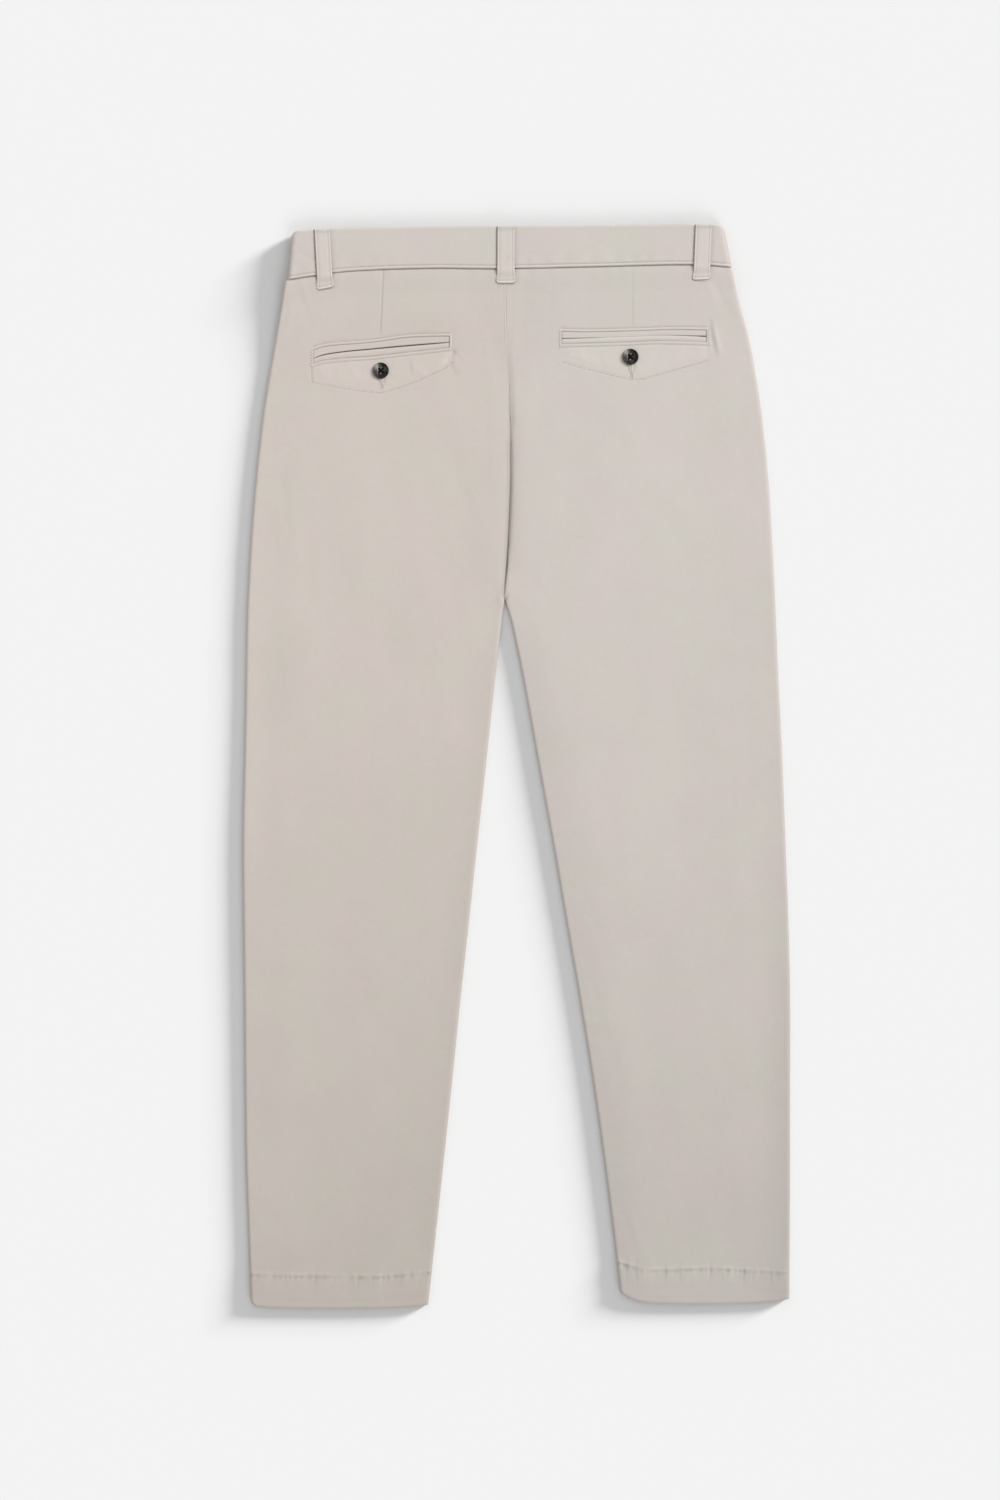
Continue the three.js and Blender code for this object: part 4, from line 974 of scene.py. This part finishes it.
def weltPlace(half, which, x, share):
    # down of a welt between its covered edge and its folded lip, with its height there
    pocket = pockets[half["name"]]
    mouth, lip = pocket["mouthDown"](x), pocket["halfGape"](x)
    way = -1 if which == "upper" else 1
    down = mouth + way * mix(pocket[which + "Width"](x) + 0.15, lip, share)
    lipCurl = quarterRound((1 - share) * 6, 1.1)
    top = bodyTop(half, x, down) - pocketForm["weltSink"]
    top = top + 0.35 * np.sin(math.pi * np.clip(share, 0, 1)) ** 0.7
    top = top - 0.5 * lipCurl - 0.35 * (1 - ramp(share, 0, 0.2))
    top = top + 0.05 * np.sin(x / 7 + 2 * share) * np.sin(x / 19)
    under = bodyTop(half, x, down) - pocketForm["recess"] + 0.08 + 0.25 * lipCurl
    return down, top, under


def makeWelt(half, which, material):
    # a strip along the window by shares of its width, pressed down at both ends
    pocket = pockets[half["name"]]
    fromX, toX = pocket["fromX"], pocket["toX"]
    x = stepsThrough([(fromX + 0.2, fromX + 2, 0.4), (fromX + 2, toX - 2, 1.4),
                      (toX - 2, toX - 0.2, 0.4)])[:, None]
    share = stepsThrough([(0, 0.8, 0.1), (0.8, 1, 0.034)])[None, :]
    down, top, under = weltPlace(half, which, x, share)
    top = top - 0.5 * soft(np.minimum(x - fromX, toX - x) - 0.2, 0.8)
    parted = np.clip(pocket["halfGape"](x) / 0.2, 0, 1)
    x = x + 0 * share
    # painted shade along the covered edge and at the lip where the welts part, painted light just short of
    # the lip and where they are closed
    shade = 0 * x - 0.9 * soft(share, 0.06) + 0.25 * soft(share - 0.8, 0.12)
    shade = shade + (1.4 - 2.4 * parted) * soft(share - 1, 0.06)
    return clothPiece(f"pocket_welt_{which}_{half['name']}", material, x, down, (x, top), (x, under),
                      x + 1200, shade, 6)


# Stitches: small capsules sunk a little into the cloth
thread = {"pitch": 2.5, "length": 1.6, "radius": 0.33, "sink": 0.05, "shift": 0}
hemThread = {"pitch": 2.8, "length": 1.15, "radius": 0.28, "sink": 0.12, "shift": 0}
lowThread = {"pitch": 2.5, "length": 1.6, "radius": 0.27, "sink": 0.27, "shift": 0}
# dark capsules between the stitches: painted shade of the needle holes
needleHoleShade = {"pitch": 2.5, "length": 1.0, "radius": 0.38, "sink": 0.34, "shift": 0.5}
loopThread = {"pitch": 1.9, "length": 1.4, "radius": 0.22, "sink": 0.05, "shift": 0}
buttonholeThread = {"pitch": 1.2, "length": 1.15, "radius": 0.2, "sink": 0.02, "shift": 0}
strandThread = {"pitch": 2.6, "length": 3.1, "radius": 0.46, "sink": -0.1, "shift": 0}


def sew(name, rows, material, form=thread):
    # every stitch is a closed five-sided capsule, turned along its row and stood on the cloth's height;
    # a row is a line of points, X, down and height, walked along at equal steps
    middles, ways = [], []
    for row in rows:
        line = np.array(row, float)
        walked = np.concatenate([[0], np.cumsum(np.linalg.norm(np.diff(line, axis=0), axis=1))])
        count = max(1, int(walked[-1] / form["pitch"]))
        at = (np.arange(count) + 0.5 + form["shift"]) * walked[-1] / count
        wobble = 0.06 * np.sin(at * 1.9 + len(rows)) * form["pitch"]
        place = lambda s: np.stack([np.interp(s, walked, line[:, k]) for k in range(3)], -1)
        middles.append(place(at + wobble))
        ways.append(place(at + 0.5) - place(at - 0.5))
    middle, way = np.concatenate(middles), np.concatenate(ways)
    middle = np.stack([middle[:, 0], garment["highestY"] - middle[:, 1], middle[:, 2]], -1)
    way = np.stack([way[:, 0], -way[:, 1], way[:, 2]], -1)
    way = way / np.linalg.norm(way, axis=1, keepdims=True)
    side = np.cross(way, [0, 0, 1.0])
    side = side / np.linalg.norm(side, axis=1, keepdims=True)
    up = np.cross(side, way)
    along = np.array([-0.5, -0.34, 0.34, 0.5]) * form["length"]
    thick = np.array([0.35, 1, 1, 0.35]) * form["radius"]
    angle = np.arange(5) * 2 * math.pi / 5
    ring = np.stack([np.repeat(along, 5), np.outer(thick, np.cos(angle)).ravel(),
                     np.outer(thick, np.sin(angle)).ravel()], -1)
    points = (middle[:, None] + ring[None, :, 0:1] * way[:, None] + ring[None, :, 1:2] * side[:, None]
              + (ring[None, :, 2:3] + form["radius"] * 0.5 - form["sink"]) * up[:, None])
    cap = np.array([[0, 2, 1], [0, 3, 2], [0, 4, 3]])
    tris = np.concatenate([cap, cap[:, ::-1] + 15])
    shift = (np.arange(len(middle)) * 20)[:, None, None]
    quads, tris = (tubeFaces(4, 5)[None] + shift).reshape(-1, 4), (tris[None] + shift).reshape(-1, 3)
    piece = putMesh(name, points.reshape(-1, 3), quads, tris, material)
    return piece


def onPanel(half, x, down):  # points on a back panel, at its top's height with its relief
    return np.stack([x, down, bodyTop(half, x, down) + panelRelief(half, x, down)[0]], -1)


def linePoints(line, gap=0.8):  # X and down of points along a line, about the gap apart
    points = np.array(line, float)
    walked = np.concatenate([[0], np.cumsum(np.hypot(*np.diff(points, axis=0).T))])
    at = np.linspace(0, walked[-1], max(3, int(walked[-1] / gap)))
    return np.interp(at, walked, points[:, 0]), np.interp(at, walked, points[:, 1])


def panelSeams(half):
    # rows round the pocket, along the hem, and beside the centre-back seam on the left half
    pocket = pockets[half["name"]]
    off = seamGap + pocketForm["stitchOff"]
    x = np.arange(pocket["fromX"] + 0.6, pocket["toX"] - 0.5, 0.8)
    mouth = pocket["mouthDown"](x)
    rows = [onPanel(half, x, mouth - pocket["upperWidth"](x) - off),
            onPanel(half, x, mouth + pocket["lowerWidth"](x) + off),
            onPanel(half, *linePoints(pocket["facing"]))]
    for endX in (pocket["fromX"] - pocket["endStitches"][0], pocket["toX"] + pocket["endStitches"][1]):
        middle = pocket["mouthDown"](endX)
        rows.append(onPanel(half, *linePoints([(endX, middle - 9), (endX, middle + 9)])))
    x = hemRow(half, 3)
    down = np.arange(56, 134, 0.8)
    seam = [onPanel(half, innerEdge(half, down) - 1.8, down)] if half is left else []
    return rows, [onPanel(half, x, half["hemStitch"](x))], seam


def bandSeams(half):
    # rows of topstitching above the waistband's lower edge, one on the back and one on the front
    rows = []
    x = np.linspace(half["sideBottom"] + half["inward"] * 6, half["inner"](0) - half["inward"] * 1, 420)
    depth = bandBottom(x) - bandTop(x)
    share = 1 - band["stitchUp"] / depth
    height = bandRelief(half, x, share, np.ones_like(x))[0]
    rows.append(np.stack([x, bandTop(x) + share * depth, garment["bandTopZ"] + height], -1))
    x = np.linspace(half["sideBottom"] + half["inward"] * 6, centreFront(0) - half["inward"] * 1, 420)
    share = 1 - band["stitchUp"] / (bandBottom(x) - bandTop(x))
    down = bandTop(x) + share * (bandBottom(x) - bandTop(x)) + dipAt(half, x)
    rows.append(np.stack([x, down, loopLayer + 0.15 + 0 * x], -1))
    return rows


def loopSeams():  # a row across the lower end of each back loop
    rows = []
    for name, loop in loops.items():
        if "back" in name:
            across = np.linspace(-0.4, 0.4, 16)
            share = 1 - loopForm["endStitch"] / loop["length"] + 0 * across
            x, down, low = loopPlace(name, share, across)[:3]
            rows.append(np.stack([x, down, low + garment["trimWall"] - 0.28], -1))
    return rows


# Pocket buttons
button = {"radius": 7.7, "rimWidth": 1.7, "thickness": 2.5, "dish": 0.8, "hole": 0.9, "spread": 1.75}


def buttonBase(half):
    # X and down of a button's middle, and the height of its back, over the highest cloth under its rim
    bx, bd = pockets[half["name"]]["button"]
    around = np.linspace(0, 2 * math.pi, 24)
    high = bodyTop(half, bx + button["radius"] * np.cos(around), bd + button["radius"] * np.sin(around)).max()
    return bx, bd, high + 0.45 + seamGap


def makeButton(half, material, threadMaterial):
    # a turned profile from the middle of the back to the middle of the face, with four wells pressed
    # into the face where the holes are
    bx, bd, base = buttonBase(half)
    radius, rim, thick, dish = button["radius"], button["rimWidth"], button["thickness"], button["dish"]
    edge = np.linspace(-0.9, 1.25, 14)
    edgeZ = thick * 0.55 + 0.62 * np.sin(edge) * thick * 0.7
    outside = np.stack([radius - 0.8 + 0.8 * np.cos(edge), edgeZ], -1)
    lip = np.linspace(0.1, 1, 8)
    inner = np.stack([radius - 0.75 - rim * lip, thick - 0.02 - dish * ramp(lip, 0, 1)], -1)
    face = np.stack([np.linspace(radius - 0.75 - rim - 0.25, 0.16, 34), np.full(34, thick - dish)], -1)
    underside = [(0.4, 0), (2.5, 0), (5.2, 0.1)]
    profile = np.concatenate([underside, outside, inner, face])
    profile[:, 1] = np.clip(profile[:, 1], 0, thick)
    angle = np.linspace(0, 2 * math.pi, 72, endpoint=False)
    r, z = profile[:, :1], profile[:, 1:]
    px, py = r * np.cos(angle), r * np.sin(angle)
    onFace = np.arange(len(profile))[:, None] >= len(underside) + len(outside)
    well = np.zeros(px.shape)
    for sx in (-1, 1):
        for sy in (-1, 1):
            away = np.hypot(px - sx * button["spread"], py - sy * button["spread"])
            well = np.maximum(well, 1 - ramp(away, 0.62 * button["hole"], 1.15 * button["hole"]))
    height = z - 0.05 * np.sin(3 * angle + r) * ramp(r, 0, 5) * onFace - 1.5 * well * onFace
    points = np.stack([bx + px, garment["highestY"] - bd + py, base + height], -1)
    poles = np.array([[bx, garment["highestY"] - bd, base],
                      [bx, garment["highestY"] - bd, base + thick - dish]])
    rows, count = px.shape
    k = np.arange(count)
    after = (k + 1) % count
    low = np.stack([after, k, np.full(count, rows * count)], -1)
    last = (rows - 1) * count
    high = np.stack([last + k, last + after, np.full(count, rows * count + 1)], -1)
    name = "pocket_button_" + half["name"]
    # painted highlights on the horn: a light patch at the upper left, a strip on the left of the face, two
    # spots beside the thread and an arc on the left of the rim; the holes get painted shade by their depth
    paintedHighlight = 1.1 * soft(np.hypot(px + 4.6 + 0.5 * np.sin(2 * py), py - 4.2 + 0.5 * np.sin(2 * px)), 2.7)
    paintedHighlight = paintedHighlight + 0.6 * soft(px + 3.2, 0.9) * soft(py, 3.2) * (r < 5.4)
    paintedHighlight = paintedHighlight + 0.5 * soft(np.hypot(px - 0.4, py - 2.9), 0.8)
    paintedHighlight = paintedHighlight + 0.6 * soft(np.hypot(px + 0.3, py + 2.8), 0.8)
    paintedHighlight = paintedHighlight + 0.3 * soft(r - 7.0, 0.3) * ramp(-px, -2, 6)
    tone = np.where(well > 0.1, -well, paintedHighlight)
    piece = putMesh("horn_" + name, np.concatenate([points.reshape(-1, 3), poles]), tubeFaces(rows, count),
                    np.concatenate([low, high]), material, shade=np.concatenate([tone.ravel(), [0, 0]]))
    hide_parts(name)

    # crossed thread through the holes, three strands each way
    s, z = button["spread"], base + thick - dish + 0.12
    rowsOfThread = []
    for way in (-1, 1):
        for shift in (-0.5, 0, 0.5):
            dx, dd = shift * way * 0.7, shift * 0.7
            rowsOfThread.append([(bx - s + dx, bd - way * s + dd, z),
                                 (bx + dx, bd + dd, z + 0.22 + 0.1 * way),
                                 (bx + s + dx, bd + way * s + dd, z)])
    cross = sew("button_thread_" + half["name"], rowsOfThread, threadMaterial, strandThread)
    return piece, cross


def buttonholeRows(half):
    # short stitches side by side along both edges of the buttonhole
    pocket = pockets[half["name"]]
    bx, rows = pocket["button"][0], []
    for way in (-1, 1):
        for down in np.arange(pocket["buttonhole"][0] + 0.6, pocket["buttonhole"][1] + 0.4, 0.55):
            x = bx + 0.4 + 0.08 * (down - pocket["buttonhole"][0])
            ends = np.array([x + way * 0.35, x + way * 1.55]), np.array([down, down])
            rows.append(onPanel(half, *ends))
    return rows


# Materials

def newMaterial(name):
    # a material with its shader, and the two functions that build its nodes
    material = bpy.data.materials.new(name)
    material.use_nodes = True
    tree = material.node_tree

    def feed(node, inputs):  # links a socket to a node's input, or sets the input's value
        for key, value in inputs.items():
            if isinstance(value, bpy.types.NodeSocket):
                tree.links.new(value, node.inputs[key])
            else:
                node.inputs[key].default_value = value

    def add(kind, inputs=None, **settings):  # a new node, with its inputs by name or number
        node = tree.nodes.new(kind)
        for key, value in settings.items():
            setattr(node, key, value)
        feed(node, inputs or {})
        return node

    return material, tree.nodes["Principled BSDF"], add, feed


twillLook = {
    "cloth": (0.573, 0.526, 0.492),
    "leftTint": (0.978, 0.966, 0.946),  # times the cloth on the left half, below the waistband
    # painted shade: the cloth darkens down the legs, as the light falls off towards the hems, by a power of
    # the way from fadeFrom (0 at the waist) to the hems
    "fade": 0.18, "fadeFrom": 0.2, "fadePower": 1.6,
    "pink": (1.018, 0.988, 1.008), "green": (0.985, 1.012, 0.986),  # the dye is uneven in broad soft patches
    "blotch": 0.045, "fleck": 0.09, "weave": 0.06,
    "twillPitch": 0.0009,               # from rib to rib, in metres
    # the strength of the painted shade and light in the cloth's colour
    "paintedShadeScale": 0.26,                   # how much grooves darken and ridges lighten
    "roughness": 0.92, "sheen": 0.22,
}


def twillMaterial(name, look):
    # the cloth's colour, painted darker towards the hems as shade and warmer on the left, times soft patches
    # of tint, times 1 + blotches + flecks + ribs + the painted shade and light
    material, shader, add, feed = newMaterial(name)
    place = add("ShaderNodeTexCoord")
    split = add("ShaderNodeSeparateXYZ", {0: place.outputs["Object"]})
    lengthwise = add("ShaderNodeMapRange", {"Value": split.outputs["Y"], "From Min": 0.52, "From Max": -0.52})
    way = add("ShaderNodeMapRange", {"Value": lengthwise.outputs[0], "From Min": look["fadeFrom"]})
    deeper = add("ShaderNodeMath", {0: way.outputs[0], 1: look["fadePower"]}, operation="POWER")
    shadedDown = add("ShaderNodeMath", {0: deeper.outputs[0], 1: -look["fade"], 2: 1.0}, operation="MULTIPLY_ADD")
    onLeft = add("ShaderNodeMapRange", {"Value": split.outputs["X"], "From Min": 0.03, "From Max": -0.04},
                 interpolation_type="SMOOTHSTEP")
    below = add("ShaderNodeMapRange", {"Value": lengthwise.outputs[0], "From Max": 0.1})
    warm = add("ShaderNodeMath", {0: onLeft.outputs[0], 1: below.outputs[0]}, operation="MULTIPLY")
    warmer = [share * tint for share, tint in zip(look["cloth"], look["leftTint"])]
    dyed = add("ShaderNodeMix", {0: warm.outputs[0], 6: (*look["cloth"], 1), 7: (*warmer, 1)},
               data_type="RGBA")
    both = add("ShaderNodeVectorMath", {0: dyed.outputs[2], 3: shadedDown.outputs[0]}, operation="SCALE")
    patch = add("ShaderNodeTexNoise",
                {"Vector": place.outputs["Object"], "Scale": 16, "Detail": 3, "Roughness": 0.6})
    patchy = add("ShaderNodeMapRange", {"Value": patch.outputs["Fac"], "From Min": 0.35, "From Max": 0.65})
    tint = add("ShaderNodeMix", {0: patchy.outputs[0], 6: (*look["green"], 1), 7: (*look["pink"], 1)},
               data_type="RGBA")
    base = add("ShaderNodeMix", {0: 1.0, 6: both.outputs[0], 7: tint.outputs[2]}, data_type="RGBA",
               blend_type="MULTIPLY")
    blotch = add("ShaderNodeTexNoise",
                 {"Vector": place.outputs["Object"], "Scale": 11, "Detail": 5, "Roughness": 0.62})
    mottle = add("ShaderNodeTexNoise",
                 {"Vector": place.outputs["Object"], "Scale": 170, "Detail": 4, "Roughness": 0.7})
    fleck = add("ShaderNodeTexNoise",
                {"Vector": place.outputs["Object"], "Scale": 1100, "Detail": 3, "Roughness": 0.75})
    lie = add("ShaderNodeMapping", {"Vector": place.outputs["UV"], "Rotation": (0, 0, math.radians(27))})
    ribs = add("ShaderNodeTexWave",
               {"Vector": lie.outputs[0], "Scale": 2 * math.pi / (20 * look["twillPitch"]),
                "Distortion": 1.6, "Detail": 2, "Detail Scale": 3}, bands_direction="X")
    shade = add("ShaderNodeAttribute", attribute_name="paintedShadeAndLight")

    def scaled(value, amount, middle):  # (value - middle) * amount
        off = add("ShaderNodeMath", {0: value, 1: middle}, operation="SUBTRACT")
        return add("ShaderNodeMath", {0: off.outputs[0], 1: amount}, operation="MULTIPLY").outputs[0]

    total = scaled(blotch.outputs["Fac"], look["blotch"] * 2, 0.5)
    for value, amount, middle in ((mottle.outputs["Fac"], look["blotch"] * 1.6, 0.5),
                                  (fleck.outputs["Fac"], look["fleck"], 0.5),
                                  (ribs.outputs["Fac"], look["weave"], 0.5),
                                  (shade.outputs["Fac"], look["paintedShadeScale"], 0.0)):
        total = add("ShaderNodeMath", {0: total, 1: scaled(value, amount, middle)},
                    operation="ADD").outputs[0]
    factor = add("ShaderNodeMath", {0: total, 1: 1.0}, operation="ADD")
    floor = add("ShaderNodeMath", {0: factor.outputs[0], 1: 0.12}, operation="MAXIMUM")
    colour = add("ShaderNodeVectorMath", {0: base.outputs[2], 3: floor.outputs[0]}, operation="SCALE")

    grain = add("ShaderNodeMath", {0: ribs.outputs["Fac"], 1: fleck.outputs["Fac"]}, operation="ADD")
    bump = add("ShaderNodeBump", {"Height": grain.outputs[0], "Strength": 0.35, "Distance": 0.00012})
    crumple = add("ShaderNodeBump", {"Height": mottle.outputs["Fac"], "Strength": 0.3, "Distance": 0.0005,
                                     "Normal": bump.outputs[0]})
    feed(shader, {"Base Color": colour.outputs[0], "Normal": crumple.outputs[0],
                  "Roughness": look["roughness"], "Specular IOR Level": 0.22,
                  "Sheen Weight": look["sheen"], "Sheen Roughness": 0.45})
    return material


hornLook = {"dark": (0.008, 0.0065, 0.006), "light": (0.42, 0.385, 0.35), "roughness": 0.36, "coat": 0.0}


def hornMaterial(name, look):
    # dark to light by clouds and by painted highlights, times 1 less the depth of the holes, which is painted
    # shade in them
    material, shader, add, feed = newMaterial(name)
    place = add("ShaderNodeTexCoord")
    cloud = add("ShaderNodeTexNoise",
                {"Vector": place.outputs["Object"], "Scale": 150, "Detail": 5, "Roughness": 0.6,
                 "Distortion": 0.8})
    clouds = add("ShaderNodeMapRange",
                 {"Value": cloud.outputs["Fac"], "From Min": 0.5, "From Max": 0.72, "To Max": 0.12})
    shade = add("ShaderNodeAttribute", attribute_name="paintedShadeAndLight")
    paintedHighlight = add("ShaderNodeMath", {0: shade.outputs["Fac"], 1: cloud.outputs["Fac"]}, operation="MULTIPLY")
    highlightShare = add("ShaderNodeMath", {0: paintedHighlight.outputs[0], 1: 1.5}, operation="MULTIPLY", use_clamp=True)
    amount = add("ShaderNodeMath", {0: clouds.outputs[0], 1: highlightShare.outputs[0]}, operation="MAXIMUM")
    base = add("ShaderNodeMix", {0: amount.outputs[0], 6: (*look["dark"], 1), 7: (*look["light"], 1)},
               data_type="RGBA")
    hole = add("ShaderNodeMath", {0: shade.outputs["Fac"], 1: 0.0}, operation="MINIMUM")
    dim = add("ShaderNodeMath", {0: hole.outputs[0], 1: 1.0}, operation="ADD")
    colour = add("ShaderNodeVectorMath", {0: base.outputs[2], 3: dim.outputs[0]}, operation="SCALE")
    scratch = add("ShaderNodeTexNoise", {"Vector": place.outputs["Object"], "Scale": 900, "Detail": 3})
    rough = add("ShaderNodeMapRange", {"Value": scratch.outputs["Fac"], "To Min": look["roughness"] - 0.08,
                                       "To Max": look["roughness"] + 0.14})
    bump = add("ShaderNodeBump", {"Height": cloud.outputs["Fac"], "Strength": 0.15, "Distance": 0.0002})
    feed(shader, {"Base Color": colour.outputs[0], "Roughness": rough.outputs[0], "Normal": bump.outputs[0],
                  "Coat Weight": look["coat"], "Coat Roughness": 0.2, "Specular IOR Level": 0.22})
    return material


def threadMaterial(name, colour, shine=0.5, sheen=0.3):  # one colour, times 0.8 to 1.15 along the ply
    material, shader, add, feed = newMaterial(name)
    place = add("ShaderNodeTexCoord")
    ply = add("ShaderNodeTexNoise", {"Vector": place.outputs["Object"], "Scale": 1500, "Detail": 2})
    tone = add("ShaderNodeMapRange",
               {"Value": ply.outputs["Fac"], "From Min": 0.3, "From Max": 0.7, "To Min": 0.8, "To Max": 1.15})
    scale = add("ShaderNodeVectorMath", {0: colour, 3: tone.outputs[0]}, operation="SCALE")
    bump = add("ShaderNodeBump", {"Height": ply.outputs["Fac"], "Strength": 0.4, "Distance": 0.0002})
    feed(shader, {"Base Color": scale.outputs[0], "Normal": bump.outputs[0], "Roughness": 0.75,
                  "Specular IOR Level": shine, "Sheen Weight": sheen})
    return material


stoneTwill = twillMaterial("stone_twill", twillLook)
darkHorn = hornMaterial("dark_horn", hornLook)
stoneThread = threadMaterial("stone_thread", (0.64, 0.585, 0.53))
holeShade = threadMaterial("needle_hole_shade", (0.27, 0.23, 0.20))
darkThread = threadMaterial("dark_thread", (0.005, 0.004, 0.004), 0.08, 0.0)

# Everything in its place
print("back panels")
backs = {half["name"]: makeBack(half, stoneTwill) for half in (left, right)}
print("fronts")
fronts = {half["name"]: makeFront(half, stoneTwill, "front") for half in (left, right)}
hips = {half["name"]: makeFront(half, stoneTwill, "front_pocket") for half in (left, right)}
print("waistband")
bands = {half["name"]: makeBand(half, stoneTwill) for half in (left, right)}
print("belt loops, welts and buttons")
beltLoops = {name: makeLoop(name, stoneTwill) for name in loops}
welts = {(half["name"], which): makeWelt(half, which, stoneTwill)
         for half in (left, right) for which in ("upper", "lower")}
buttons = {half["name"]: makeButton(half, darkHorn, darkThread) for half in (left, right)}
print("stitches")
for half in (left, right):
    name, bandSeam = half["name"], bandSeams(half)
    pocketSeams, hemSeam, centreSeam = panelSeams(half)
    sew("stitches_back_" + name, pocketSeams + centreSeam, stoneThread)
    sew("stitches_hem_" + name, hemSeam, stoneThread, form=hemThread)
    sew("needle_hole_shade_back_" + name, pocketSeams + hemSeam, holeShade, form=needleHoleShade)
    sew("stitches_front_" + name, frontSeams(half), stoneThread, form=lowThread)
    sew("stitches_buttonhole_" + name, buttonholeRows(half), stoneThread, form=buttonholeThread)
    sew("stitches_waistband_" + name, bandSeam, stoneThread)
    sew("needle_hole_shade_waistband_" + name, bandSeam, holeShade, form=needleHoleShade)
sew("stitches_belt_loops", loopSeams(), stoneThread, form=loopThread)

# What each cloth piece was cut to, worked out for each half and not used further
for half in (left, right):
    name, cut = half["name"], cutOf(half)

# Floor, light and camera
stage = {
    "floor": 0.80, "floorReach": 15, "sky": 0.575,
    # the floor's lights are low, for the soft shadow round the cloth, and the cloth's is higher, for even
    # folds; a row is height, turn from +X towards +Y, size in degrees, and how much it lights a flat surface
    "floorLights": [(11.5, 30, 13, 0.445), (33, -62, 30, 0.10)],
    "clothLights": [(44, 32, 34, 0.546)],
    "cameraX": -0.01584, "cameraY": 0.01608, "cameraHeight": 4.006, "lens": 100.0,
}
far = stage["floorReach"]
floorMesh = bpy.data.meshes.new("floor")
floorMesh.from_pydata([(-far, -far, 0), (far, -far, 0), (far, far, 0), (-far, far, 0)], [], [(0, 1, 2, 3)])
floor = bpy.data.objects.new("floor", floorMesh)
bpy.context.scene.collection.objects.link(floor)
paper, paperShader, _, feed = newMaterial("pale_floor")
feed(paperShader, {"Base Color": (stage["floor"],) * 3 + (1,), "Roughness": 1.0, "Specular IOR Level": 0.0})
floorMesh.materials.append(paper)

sky = bpy.data.worlds.new("studio")
bpy.context.scene.world = sky
sky.use_nodes = True
sky.node_tree.nodes["Background"].inputs["Color"].default_value = (1, 1, 1, 1)
sky.node_tree.nodes["Background"].inputs["Strength"].default_value = stage["sky"]
onlyFloor = bpy.data.collections.new("only_floor")
onlyFloor.objects.link(floor)
butFloor = bpy.data.collections.new("all_but_floor")
butFloor.objects.link(floor)
butFloor.collection_objects[0].light_linking.link_state = "EXCLUDE"
for name, lit in (("floorLights", onlyFloor), ("clothLights", butFloor)):
    for high, turn, size, amount in stage[name]:
        high, turn = math.radians(high), math.radians(turn)
        sunLight = bpy.data.lights.new(name, "SUN")
        sunLight.energy = amount * math.pi / math.sin(high)
        sunLight.angle = math.radians(size)
        sun = bpy.data.objects.new(name, sunLight)
        toward = -Vector((math.cos(high) * math.cos(turn), math.cos(high) * math.sin(turn), math.sin(high)))
        sun.rotation_euler = toward.to_track_quat("-Z", "Y").to_euler()
        sun.light_linking.receiver_collection = lit
        bpy.context.scene.collection.objects.link(sun)

lens = bpy.data.cameras.new("camera")
lens.lens, lens.sensor_width = stage["lens"], 36
lens.clip_end = 60
camera = bpy.data.objects.new("camera", lens)
camera.location = (stage["cameraX"], stage["cameraY"], stage["cameraHeight"])
bpy.context.scene.collection.objects.link(camera)
bpy.context.scene.camera = camera
bpy.context.scene.view_settings.view_transform = "Standard"

print("done")
